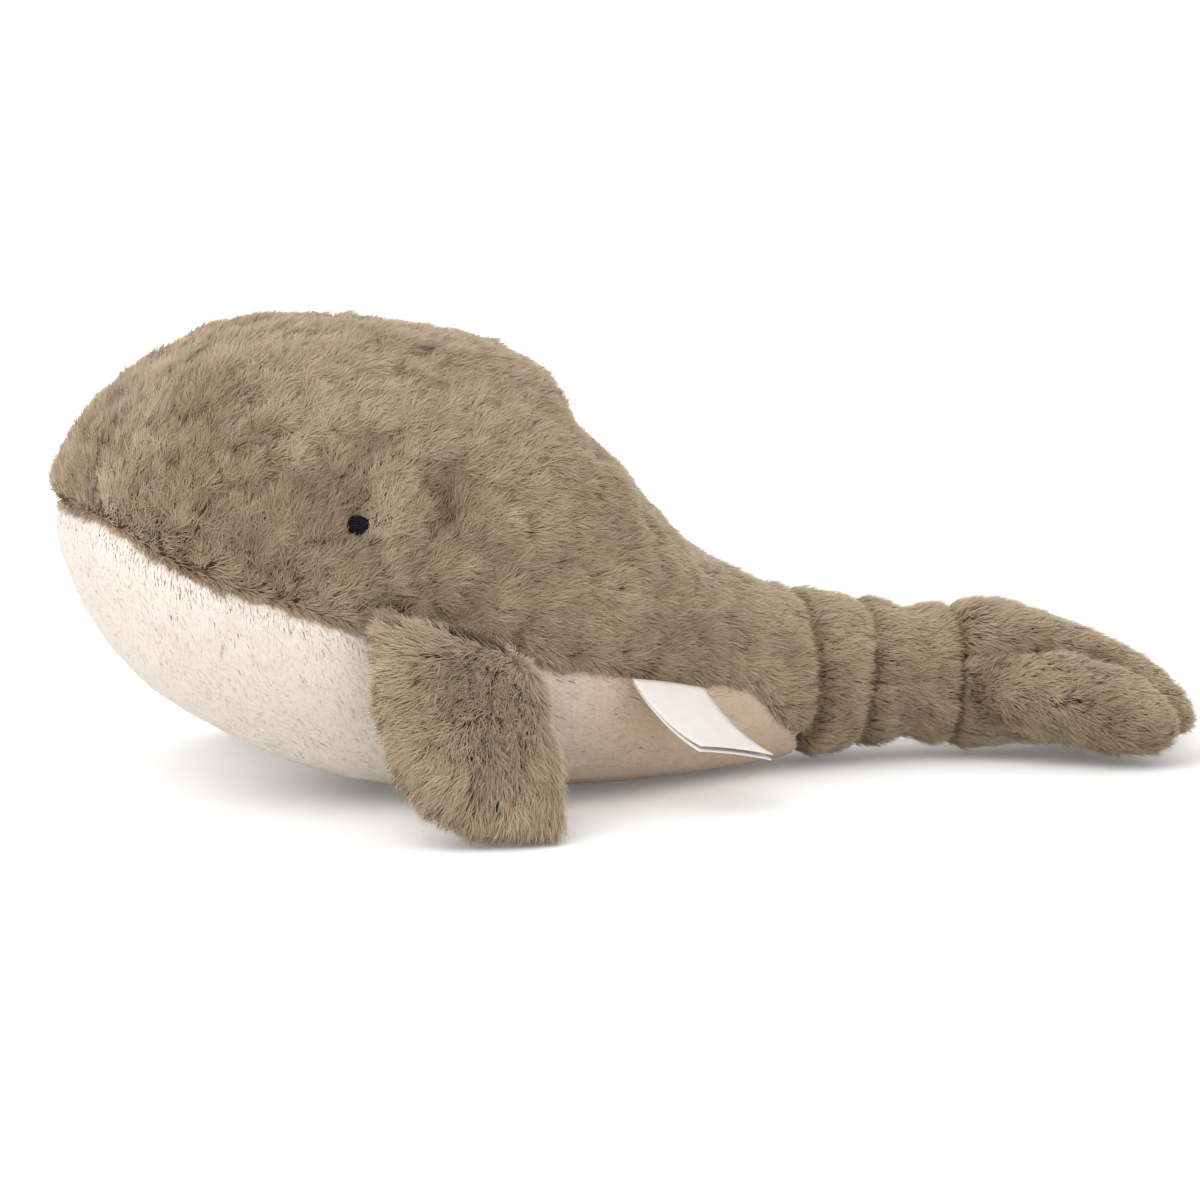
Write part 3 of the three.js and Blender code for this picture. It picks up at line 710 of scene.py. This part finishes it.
def seam_places(hide):
    """Each point's distance from the side seam, over 0 on the back, under 0 on the belly, FAR on the tail."""
    seam = np.full(len(hide.points), FAR)
    near = past(hide.points, creases[0], fold_ways[0]) < 0
    to_belly = reach(hide.points[near], ["belly_panel"])
    to_back = reach(hide.points[near], ["left_back_panel", "right_back_panel"])
    seam[near] = to_belly - to_back
    return seam


def hide_depth(hide, seam):
    """How deep the long hide lies under the outside of the solids."""
    points, upwards = hide.points, hide.normals[:, 2]
    trunk = past(points, creases[0], fold_ways[0]) < 0
    to_top_seam = np.where(trunk & (upwards > 0.3), np.abs(points[:, 1]), FAR)
    upper = smooth(upwards, -0.4, 0.3)
    depth = np.where(seam < 0, BELLY_PILE, BACK_PILE)
    depth += SEAM_DEPTH * bell(seam, SEAM_REACH)
    depth += TOP_SEAM_DEPTH * bell(to_top_seam, SEAM_REACH)
    folds = crease_share(points) * (0.75 + 0.25 * noise(points, 22 * MM, "fold"))
    depth += FOLD_DEPTH * folds * (1 - FOLD_EASE * smooth(upwards, 0.4, 0.9))
    depth += (VALLEY_DEPTH * valley_share(points) - ROLL_HEIGHT * roll_share(points)) * upper
    for place, span, height in SWELLS:
        depth -= height * bell_round(points[:, ::2], place, span) * upper
    for place, span, dent in DENTS:
        depth += dent * bell_round(points, place, span)
    return depth


def long_hide():
    spans = [(place, way, FOLD_SPAN) for place, way in zip(creases, fold_ways)]
    spans.append((creases[2] + 0.5 * FLUKE_SPAN * fold_ways[2], fold_ways[2], FLUKE_SPAN))
    nodes = TRUNK_NODES + RING_NODES[0] + RING_NODES[1] + FLUKE_NODES
    hide = Hide(outer_form("long_hide", nodes, spans))
    seam = seam_places(hide)
    hide.draw_in(hide_depth(hide, seam))
    hide.facts["seam"] = seam
    hide.facts["away"] = hide.rise_of(seam)
    from_eyes = np.stack([hide.points - eye for eye in EYES.values()])
    hide.facts["eye"] = np.linalg.norm(from_eyes, axis=2).min(axis=0)
    hide.facts["off_eye"] = unit(np.where(hide.points[:, 1:2] < 0, from_eyes[0], from_eyes[1]))
    hide.facts["label"] = np.full(len(seam), FAR)
    low, high = (np.array(corner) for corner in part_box("label"))
    by_label = np.all((hide.points > low - LABEL_CLEARING) & (hide.points < high + LABEL_CLEARING), axis=1)
    hide.facts["label"][by_label] = reach(hide.points[by_label], ["label"])
    return hide


def slanted(points, places, angles):
    """A way that lies in the whale's upright plane, its slope in degrees given at places along the whale."""
    angle = np.radians(np.interp(points[:, 0], np.array(places) * MM, angles))
    return np.stack([np.cos(angle), np.zeros(len(points)), np.sin(angle)], axis=1)


def back_nap(points):
    """The pile on the back leans up and aft on the head, aft on the flanks and along the tail behind."""
    return slanted(points, *BACK_NAP)


def belly_nap(points):
    """The pile on the belly leans down from the snout, then more and more aft."""
    return slanted(points, *BELLY_NAP)


def painted_nap_shading(points):
    """Painted light and shade in patches, from about -1 to 1, where the rubbed pile lies different ways and
    catches the light unevenly.
    """
    patches = 0.8 * noise(points, 26 * MM, "patches") + 0.6 * noise(points, 11 * MM, "spots")
    return patches + 0.5 * noise(points, 5 * MM, "specks")


def partings(points):
    """1 on the wandering lines where rough fur parts, falling to 0 beside them."""
    wander = noise(points, 17 * MM, "partings") + 0.3 * noise(points, 6 * MM, "ragged")
    return bell(wander, 0.12)


def over_seam(fur, nap):
    """The back's fur turned across the side seam, where it is also shorter, paler, flatter and calmer."""
    at_seam = bell(fur["seam"], SEAM_LAP)
    across = np.array([0.5, 0.0, 0.0]) - fur["away"]
    fur["nap"] = nap + at_seam[:, None] * (across - nap)
    fur["length"] *= 1 - 0.5 * at_seam
    fur["tone"] += 0.16 * at_seam
    fur["stand"] *= 1 - 0.5 * at_seam
    fur["unruly"] *= 1 - 0.6 * at_seam


def back_coat(fur):
    """Combed fur on the back, rougher and more upright on the face than behind."""
    points = fur["points"]
    face = smooth(-points[:, 0], 0, FACE_END)
    parting = face * partings(points)
    at_eye = smooth(-fur["eye"], -2.6 * EYE_CLEARING, -EYE_CLEARING)
    # painted light: the fur is lighter where the hide faces up, towards the lamps
    painted_top_light = smooth(fur["normals"][:, 2], 0.2, 0.9)
    fur["tone"] = 0.53 + (0.28 + 0.14 * face) * painted_nap_shading(points) - 0.34 * parting + 0.24 * painted_top_light
    fur["tone"] += 0.1 * smooth(points[:, 0], 0, REAR_END)
    # painted shade: the fur is darker in the dents
    for place, span, _ in DENTS:
        fur["tone"] -= 0.4 * bell_round(points, place, span)
    fur["length"] = BACK_FUR * (1 + 0.14 * noise(points, 9 * MM, "back length")) * (1 - 0.28 * parting)
    fur["length"] *= 1 - 0.62 * at_eye
    fur["stand"] = 0.36 + 0.12 * face + 0.12 * noise(points, 12 * MM, "back stand")
    fur["unruly"] = 0.24 + 0.16 * face
    nap = back_nap(points) + (0.2 + 0.4 * face[:, None]) * noise_vectors(points, 20 * MM, "back nap")
    over_seam(fur, nap + 0.8 * at_eye[:, None] * fur["off_eye"])


def belly_coat(fur):
    """Smooth pale fur, darkened and warmed towards the tail by painted shade, and short where the back's fur
    covers it.
    """
    points = fur["points"]
    fur["nap"] = belly_nap(points) + 0.16 * noise_vectors(points, 40 * MM, "belly nap")
    # painted shade: the tone falls from the front of the belly towards the tail
    fur["tone"] = 0.93 + 0.05 * painted_nap_shading(points) - 0.88 * smooth(points[:, 0], BELLY_SHADE_START, 0)
    under_label = np.clip(fur["label"] / LABEL_CLEARING, 0.3, 1)
    under_back = 0.45 + 0.55 * smooth(-fur["seam"], 0, 1.5 * SEAM_LAP)
    fur["length"] = BELLY_FUR * (1 + 0.08 * noise(points, 13 * MM, "belly length")) * under_label * under_back
    fur["stand"] = 0.07 + 0.03 * noise(points, 15 * MM, "belly stand")
    fur["unruly"] = np.full(len(points), 0.12)


def tail_coat(fur):
    """Combed fur on the tail, shorter in its creases and darker there with painted shade."""
    points = fur["points"]
    fold = np.maximum(crease_share(points), valley_share(points))
    # painted light: the fur is lighter where the hide faces up, towards the lamps
    painted_top_light = smooth(fur["normals"][:, 2], 0.2, 0.9)
    # painted shade in the creases and the valley, and painted light on the far lobe's roll
    fur["tone"] = 0.54 + 0.3 * painted_nap_shading(points) - 0.6 * fold + 0.1 * roll_share(points) + 0.4 * painted_top_light
    fur["length"] = TAIL_FUR * (1 - 0.55 * fold) * (1 + 0.1 * noise(points, 10 * MM, "tail length"))
    fur["stand"] = 0.34 + 0.1 * noise(points, 12 * MM, "tail stand")
    fur["unruly"] = np.full(len(points), 0.26)
    over_seam(fur, tail_nap(points) + 0.25 * noise_vectors(points, 20 * MM, "tail nap"))


def tail_nap(points):
    """The pile on the tail leans along it and spreads out over the lobes."""
    way = np.array(fold_ways)[np.clip(zone_of(points), 0, 2)]
    behind = past(points, fold_points[2], fold_ways[2])[:, None]
    fan = unit(points - (fold_points[2] - FAN_SOURCE * fold_ways[2]))
    return way + smooth(behind, FAN_START, FAN_END) * (fan - way)


def dress_trunk(hide, rng):
    def attach(piece):
        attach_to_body(piece, "trunk")

    halves = {"left": lambda p: p[:, 1] < 0, "right": lambda p: p[:, 1] >= 0}
    for side, half in halves.items():
        roots = hide.sample(FUR_DENSITY, lambda p: half(p) & (zone_of(p) == 0), rng)
        back = pick(roots, (roots["seam"] > SEAM_OVERLAP) & (roots["eye"] > EYE_CLEARING))
        back_coat(back)
        plant(f"{side}_back_fur", back, TAUPE_FUR, "taupe_plush", attach, rng)
        belly = pick(roots, roots["seam"] < SEAM_OVERLAP)
        belly_coat(belly)
        plant(f"{side}_belly_fur", belly, CREAM_FUR, "cream_plush", attach, rng, **SMOOTH_STYLE)


def dress_tail(hide, zone, rng):
    def attach(piece):
        bend(piece)

    roots = hide.sample(FUR_DENSITY, lambda p: zone_of(p) == zone, rng)
    taupe = pick(roots, roots["seam"] > SEAM_OVERLAP)
    tail_coat(taupe)
    plant(f"tail_fur_{zone}", taupe, TAUPE_FUR, "taupe_plush", attach, rng)
    belly = pick(roots, roots["seam"] < SEAM_OVERLAP)
    if len(belly["seam"]):
        belly_coat(belly)
        plant(f"tail_belly_fur_{zone}", belly, CREAM_FUR, "cream_plush", attach, rng, **SMOOTH_STYLE)


def bend(piece):
    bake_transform(piece)


def cut_hide(hide, name, keep):
    """The part of a hide whose faces' middles keep marks, as a piece of its own."""
    part = bmesh.new()
    part.from_mesh(hide.mesh)
    part.faces.ensure_lookup_table()
    middles = np.array([face.calc_center_median() for face in part.faces])
    chosen = keep(middles)
    bmesh.ops.delete(part, geom=[face for face, kept in zip(part.faces, chosen) if not kept], context="FACES")
    mesh = bpy.data.meshes.new(name)
    part.to_mesh(mesh)
    part.free()
    piece = link(name, mesh)
    mesh.polygons.foreach_set("use_smooth", np.ones(len(mesh.polygons), bool))
    return piece


def paint_backing(piece, hide):
    """Cream backing below the side seam and taupe above it."""
    piece.data.materials.append(TAUPE_CLOTH)
    piece.data.materials.append(CREAM_CLOTH)
    tree = tree_of(hide.mesh)
    seam = hide.facts["seam"]
    for face in piece.data.polygons:
        nearest = tree.find_nearest(face.center)[2]
        corners = hide.mesh.polygons[nearest].vertices
        face.material_index = int(np.mean([seam[corner] for corner in corners]) < SEAM_OVERLAP)


def build_long_hide():
    rng = np.random.default_rng(HIDE_SEED)
    hide = long_hide()
    dress_trunk(hide, rng)
    for zone in (1, 2, 3):
        dress_tail(hide, zone, rng)
    trunk = cut_hide(hide, "trunk_hide", lambda p: zone_of(p) == 0)
    paint_backing(trunk, hide)
    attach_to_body(trunk, "trunk")
    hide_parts(*TRUNK_NODES)
    for zone, nodes in ((1, RING_NODES[0]), (2, RING_NODES[1]), (3, FLUKE_NODES)):
        piece = cut_hide(hide, f"tail_hide_{zone}", lambda p: zone_of(p) == zone)
        paint_backing(piece, hide)
        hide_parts(*nodes)
        bend(piece)
    return hide


# Eyes


def thread_run(form, path, normals, radius):
    """A thread along a path, as a closed tube whose ends come to a point."""
    count = len(path)
    ways = unit(np.gradient(path, axis=0))
    sides = unit(np.cross(ways, normals))
    tops = np.cross(sides, ways)
    turns = np.linspace(0, 2 * math.pi, THREAD_SIDES, endpoint=False)
    rings = []
    for i in range(count):
        thick = radius * math.sqrt(max(1 - (2 * i / (count - 1) - 1) ** 8, 0.02))
        ring = [path[i] + thick * (math.cos(t) * sides[i] + math.sin(t) * tops[i]) for t in turns]
        rings.append([form.verts.new(corner) for corner in ring])
    for first, second in zip(rings, rings[1:]):
        for k in range(THREAD_SIDES):
            after = (k + 1) % THREAD_SIDES
            form.faces.new([first[k], first[after], second[after], second[k]])
    form.faces.new(rings[0][::-1])
    form.faces.new(rings[-1])


def stitch_layer(form, centre, normal, along, rise, reach_share, rng):
    """Threads side by side over an oval, each one domed and a little uneven at its ends."""
    across = np.cross(normal, along)
    spots = np.linspace(-1, 1, int(EYE_HEIGHT * reach_share / THREAD_PITCH))
    share = np.linspace(-1, 1, THREAD_STEPS + 1)
    for spot in spots:
        half = math.sqrt(max(1.02 - spot * spot, 0)) * reach_share * EYE_WIDTH / 2
        ends = half + STITCH_STRAY * rng.uniform(-1, 1, 2)
        if spot > 0.55:
            ends += TOP_STRAY * rng.random(2)
        run = np.interp(share, [-1, 1], [-ends[0], ends[1]])
        dome = rise * math.sqrt(max(1 - 0.75 * spot * spot, 0)) * (1 - share ** 4) - THREAD_SINK
        height = EYE_HEIGHT / 2 * reach_share * (spot + 0.05 * rng.uniform(-1, 1))
        path = centre + run[:, None] * along + height * across + dome[:, None] * normal
        thread_run(form, path, np.broadcast_to(normal, path.shape), THREAD / 2)


def build_eye(side, hide):
    """Black satin stitches laid over a first layer that pads them out."""
    rng = np.random.default_rng(EYE_SEEDS[side])
    centre, normal = hide.nearest(EYES[side] + EYE_LIFT)
    aft = unit(np.cross(np.cross(normal, [1.0, 0.0, 0.0]), normal))
    tilt = -EYE_TILT if side == "left" else EYE_TILT
    along = math.cos(tilt) * aft + math.sin(tilt) * np.cross(normal, aft)
    form = bmesh.new()
    stitch_layer(form, centre, normal, np.cross(normal, along), 0.6 * EYE_RISE, 0.8, rng)
    stitch_layer(form, centre, normal, along, EYE_RISE, 1.0, rng)
    mesh = bpy.data.meshes.new(f"{side}_eye_stitches")
    form.to_mesh(mesh)
    form.free()
    mesh.polygons.foreach_set("use_smooth", np.ones(len(mesh.polygons), bool))
    mesh.materials.append(BLACK_THREAD)
    piece = link(f"{side}_eye_stitches", mesh)
    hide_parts(f"{side}_eye")
    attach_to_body(piece, "trunk")


# Label


def label_ways():
    """The ways along the label's seam, out of it and up."""
    joint = JOINTS["label_lift"]
    along = np.array(joint["axis"])
    low, high = (np.array(corner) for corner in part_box("label"))
    out = unit(np.cross([0.0, 0.0, 1.0], along))
    if out @ ((low + high) / 2 - joint["pos_m"]) < 0:
        out = -out
    up = np.cross(along, out) * (1 if np.cross(along, out)[2] > 0 else -1)
    return along, out, up


def ribbon_path(out, up):
    """The ribbon's middle line from one cut end to the other, and which way it faces there."""
    place = np.array(JOINTS["label_lift"]["pos_m"]) + out * RIBBON
    middle, squares = [], []
    for i in range(LABEL_STEPS + 1):
        slope = -LABEL_DROOP + LABEL_CURL * i / LABEL_STEPS
        middle.append(place)
        squares.append(up * math.cos(slope) - out * math.sin(slope))
        place = place + (out * math.cos(slope) + up * math.sin(slope)) * LABEL_LENGTH / LABEL_STEPS
    middle, squares = np.array(middle), np.array(squares)
    spread = (RIBBON + PLY_SPREAD * np.linspace(0, 1, LABEL_STEPS + 1) ** 1.5)[:, None] / 2
    path = np.concatenate([(middle + squares * spread)[::-1], (middle - squares * spread)])
    return path, np.concatenate([squares[::-1], -squares])


def ribbon_face(form, path, facing, along, up, offset):
    """One face of the ribbon as rows of corners, bowed and with a thicker edge on each side."""
    grid = []
    for spot, square in zip(path, facing):
        row = []
        for k in range(LABEL_COLUMNS + 1):
            side = 2 * k / LABEL_COLUMNS - 1
            bow = -LABEL_BOW * side * side
            selvedge = SELVEDGE_HEIGHT * bell((1 - abs(side)) * LABEL_WIDTH / 2, SELVEDGE_WIDTH)
            thick = square * (offset + math.copysign(selvedge, offset))
            row.append(form.verts.new(spot + along * side * LABEL_WIDTH / 2 + up * bow + thick))
        grid.append(row)
    return grid


def close_ribbon(form, top, under):
    """The faces of both sides of the ribbon and the rim between them."""
    rows, columns = len(top), LABEL_COLUMNS
    for i in range(rows - 1):
        for k in range(columns):
            form.faces.new([top[i][k], top[i][k + 1], top[i + 1][k + 1], top[i + 1][k]])
            form.faces.new([under[i][k], under[i + 1][k], under[i + 1][k + 1], under[i][k + 1]])
    border = [(i, 0) for i in range(rows)] + [(rows - 1, k) for k in range(1, columns + 1)]
    border += [(i, columns) for i in range(rows - 2, -1, -1)] + [(0, k) for k in range(columns - 1, 0, -1)]
    for (i, k), (m, n) in zip(border, border[1:] + border[:1]):
        form.faces.new([top[i][k], top[m][n], under[m][n], under[i][k]])
    bmesh.ops.recalc_face_normals(form, faces=form.faces)


def build_label():
    """A ribbon doubled at the seam, whose two plies part and level out towards their cut ends."""
    along, out, up = label_ways()
    path, facing = ribbon_path(out, up)
    form = bmesh.new()
    faces = [ribbon_face(form, path, facing, along, up, offset) for offset in (0.5 * RIBBON, -0.5 * RIBBON)]
    close_ribbon(form, *faces)
    mesh = bpy.data.meshes.new("ribbon_label")
    form.to_mesh(mesh)
    form.free()
    mesh.polygons.foreach_set("use_smooth", np.ones(len(mesh.polygons), bool))
    mesh.materials.append(ribbon_material(along, out))
    piece = link("ribbon_label", mesh)
    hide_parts("label")
    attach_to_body(piece, "label")


long_skin = build_long_hide()
for side in EYES:
    build_eye(side, long_skin)
build_label()


# Fins


def fin_coat(fur, source):
    """Fur that fans out from the fin's rear top corner, longer and lighter at the rim."""
    points = fur["points"]
    low, high = points.min(axis=0), points.max(axis=0)
    middle = (low + high) / 2
    outwards = points - middle
    rim = smooth(np.linalg.norm(outwards / (high - low), axis=1), 0.16, 0.52)
    way = unit(unit(points - source) + 0.8 * rim[:, None] * unit(outwards))
    fur["nap"] = turned(way, fur["normals"], (1 - 0.5 * rim) * 0.6 * noise(points, 11 * MM, "fin nap"))
    at_tip = 1 - smooth(points[:, 2], 0, FIN_TIP_REACH)
    # painted light at the root, where the fin lies in the trunk's shadow
    fur["tone"] = 0.36 + 0.5 * rim + 0.2 * painted_nap_shading(points) + 0.22 * at_tip + 0.3 * fur["root"]
    fur["length"] = FIN_FUR + (FIN_RIM_FUR - FIN_FUR) * rim
    fur["length"] *= 1 + 0.1 * noise(points, 7 * MM, "fin length")
    fur["stand"] = 0.5 - 0.16 * rim - 0.2 * fur["root"] + 0.1 * noise(points, 8 * MM, "fin stand")
    fur["unruly"] = 0.36 - 0.12 * rim


def build_fin(side):
    nodes = [f"{side}_fin_{part}" for part in ("outer_panel", "inner_panel", "stuffing")]
    hide = Hide(outer_form(f"{side}_fin_hide", nodes))
    front, top = hide.points[:, 0].min(), hide.points[:, 2].max()
    at_top = smooth(hide.points[:, 2], top - FIN_TOP_REACH, top)
    at_front = 1 - smooth(hide.points[:, 0], front, front + FIN_TOP_REACH)
    to_trunk = reach(hide.points, [f"{side}_back_panel", "belly_panel"])
    at_root = 1 - smooth(to_trunk, MM, FIN_ROOT_REACH)
    hide.draw_in(np.full(len(hide.points), FIN_PILE))
    inwards = np.array([0.0, 1.0 if side == "left" else -1.0, 0.0])
    rise = (FIN_TOP_RISE + FIN_FRONT_RISE * at_front) * at_top
    press = (FIN_PILE + FIN_ROOT_FILL) * at_root
    hide.shift(rise[:, None] * np.array([0.0, 0.0, 1.0]) + press[:, None] * inwards)
    hide.facts["root"] = at_root
    root = np.array(JOINTS[f"{side}_fin_lift"]["pos_m"])
    rng = np.random.default_rng(FIN_SEEDS[side])
    fur = hide.sample(FUR_DENSITY, lambda p: p[:, 2] > 0, rng)
    fin_coat(fur, root + FIN_SOURCE)

    def attach(piece):
        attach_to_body(piece, f"{side}_fin")

    plant(f"{side}_fin_fur", fur, TAUPE_FUR, "taupe_plush", attach, rng, patchy=0.12)
    skin = link(f"{side}_fin_hide", hide.mesh)
    hide.mesh.materials.append(TAUPE_CLOTH)
    attach(skin)
    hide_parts(*nodes)


for side in ("left", "right"):
    build_fin(side)


# Stage


def white_backdrop(nodes, light):
    """Light for the object, and white wherever the camera or a reflection looks past it."""
    seen = nodes.new("ShaderNodeLightPath")
    either = nodes.new("ShaderNodeMath")
    either.operation = "MAXIMUM"
    strength = nodes.new("ShaderNodeMapRange")
    strength.inputs["To Min"].default_value = light
    strength.inputs["To Max"].default_value = 1.0
    links = nodes.id_data.links
    links.new(seen.outputs["Is Camera Ray"], either.inputs[0])
    links.new(seen.outputs["Is Glossy Ray"], either.inputs[1])
    links.new(either.outputs[0], strength.inputs["Value"])
    links.new(strength.outputs["Result"], nodes["Background"].inputs["Strength"])


def build_stage():
    mesh = bpy.data.meshes.new("floor")
    form = bmesh.new()
    bmesh.ops.create_grid(form, x_segments=1, y_segments=1, size=FLOOR_SIZE)
    form.to_mesh(mesh)
    form.free()
    floor = link("floor", mesh)
    nodes = Nodes("pale_floor")
    seen = nodes.add("ShaderNodeLightPath").outputs["Is Camera Ray"]
    place = nodes.add("ShaderNodeTexCoord").outputs["Object"]
    off = nodes.add("ShaderNodeVectorMath", {0: place}, operation="LENGTH").outputs["Value"]
    white = nodes.add("ShaderNodeMapRange", {"Value": off}, interpolation_type="SMOOTHSTEP")
    for socket, value in zip(("From Min", "From Max", "To Min"), (FLOOR_SHADOW, FLOOR_FADE, FLOOR_LIFT)):
        white.inputs[socket].default_value = value
    lift = nodes.add("ShaderNodeMath", {0: seen, 1: white.outputs["Result"]}, operation="MULTIPLY")
    nodes.set(Base_Color=colour(250, 250, 249), Roughness=0.9)
    nodes.set(Emission_Color=(1, 1, 1, 1), Emission_Strength=lift.outputs[0])
    mesh.materials.append(nodes.material)
    floor.location.z = -FLOOR_DROP

    world = bpy.data.worlds.new("studio")
    bpy.context.scene.world = world
    world.use_nodes = True
    world.node_tree.nodes["Background"].inputs["Color"].default_value = (1, 1, 1, 1)
    white_backdrop(world.node_tree.nodes, SKY)


def add_light(name, place, size, power):
    data = bpy.data.lights.new(name, "AREA")
    data.shape = "DISK"
    data.size = size
    data.energy = power
    light = bpy.data.objects.new(name, data)
    bpy.context.scene.collection.objects.link(light)
    light.location = place
    light.rotation_euler = (Vector(place) - AIM).to_track_quat("Z", "Y").to_euler()


def add_camera():
    data = bpy.data.cameras.new("camera")
    data.sensor_width = SENSOR / MM
    data.lens = SENSOR / MM * DISTANCE / FRAME_WIDTH
    camera = bpy.data.objects.new("camera", data)
    bpy.context.scene.collection.objects.link(camera)
    level = math.cos(ELEVATION)
    away = Vector((math.sin(AZIMUTH) * level, -math.cos(AZIMUTH) * level, math.sin(ELEVATION)))
    camera.location = AIM + away * DISTANCE
    camera.rotation_euler = away.to_track_quat("Z", "Y").to_euler()
    bpy.context.scene.camera = camera


build_stage()
add_light("key", KEY_PLACE, KEY_SIZE, KEY_POWER)
add_light("fill", FILL_PLACE, FILL_SIZE, FILL_POWER)
add_camera()
bpy.context.scene.view_settings.view_transform = "Standard"
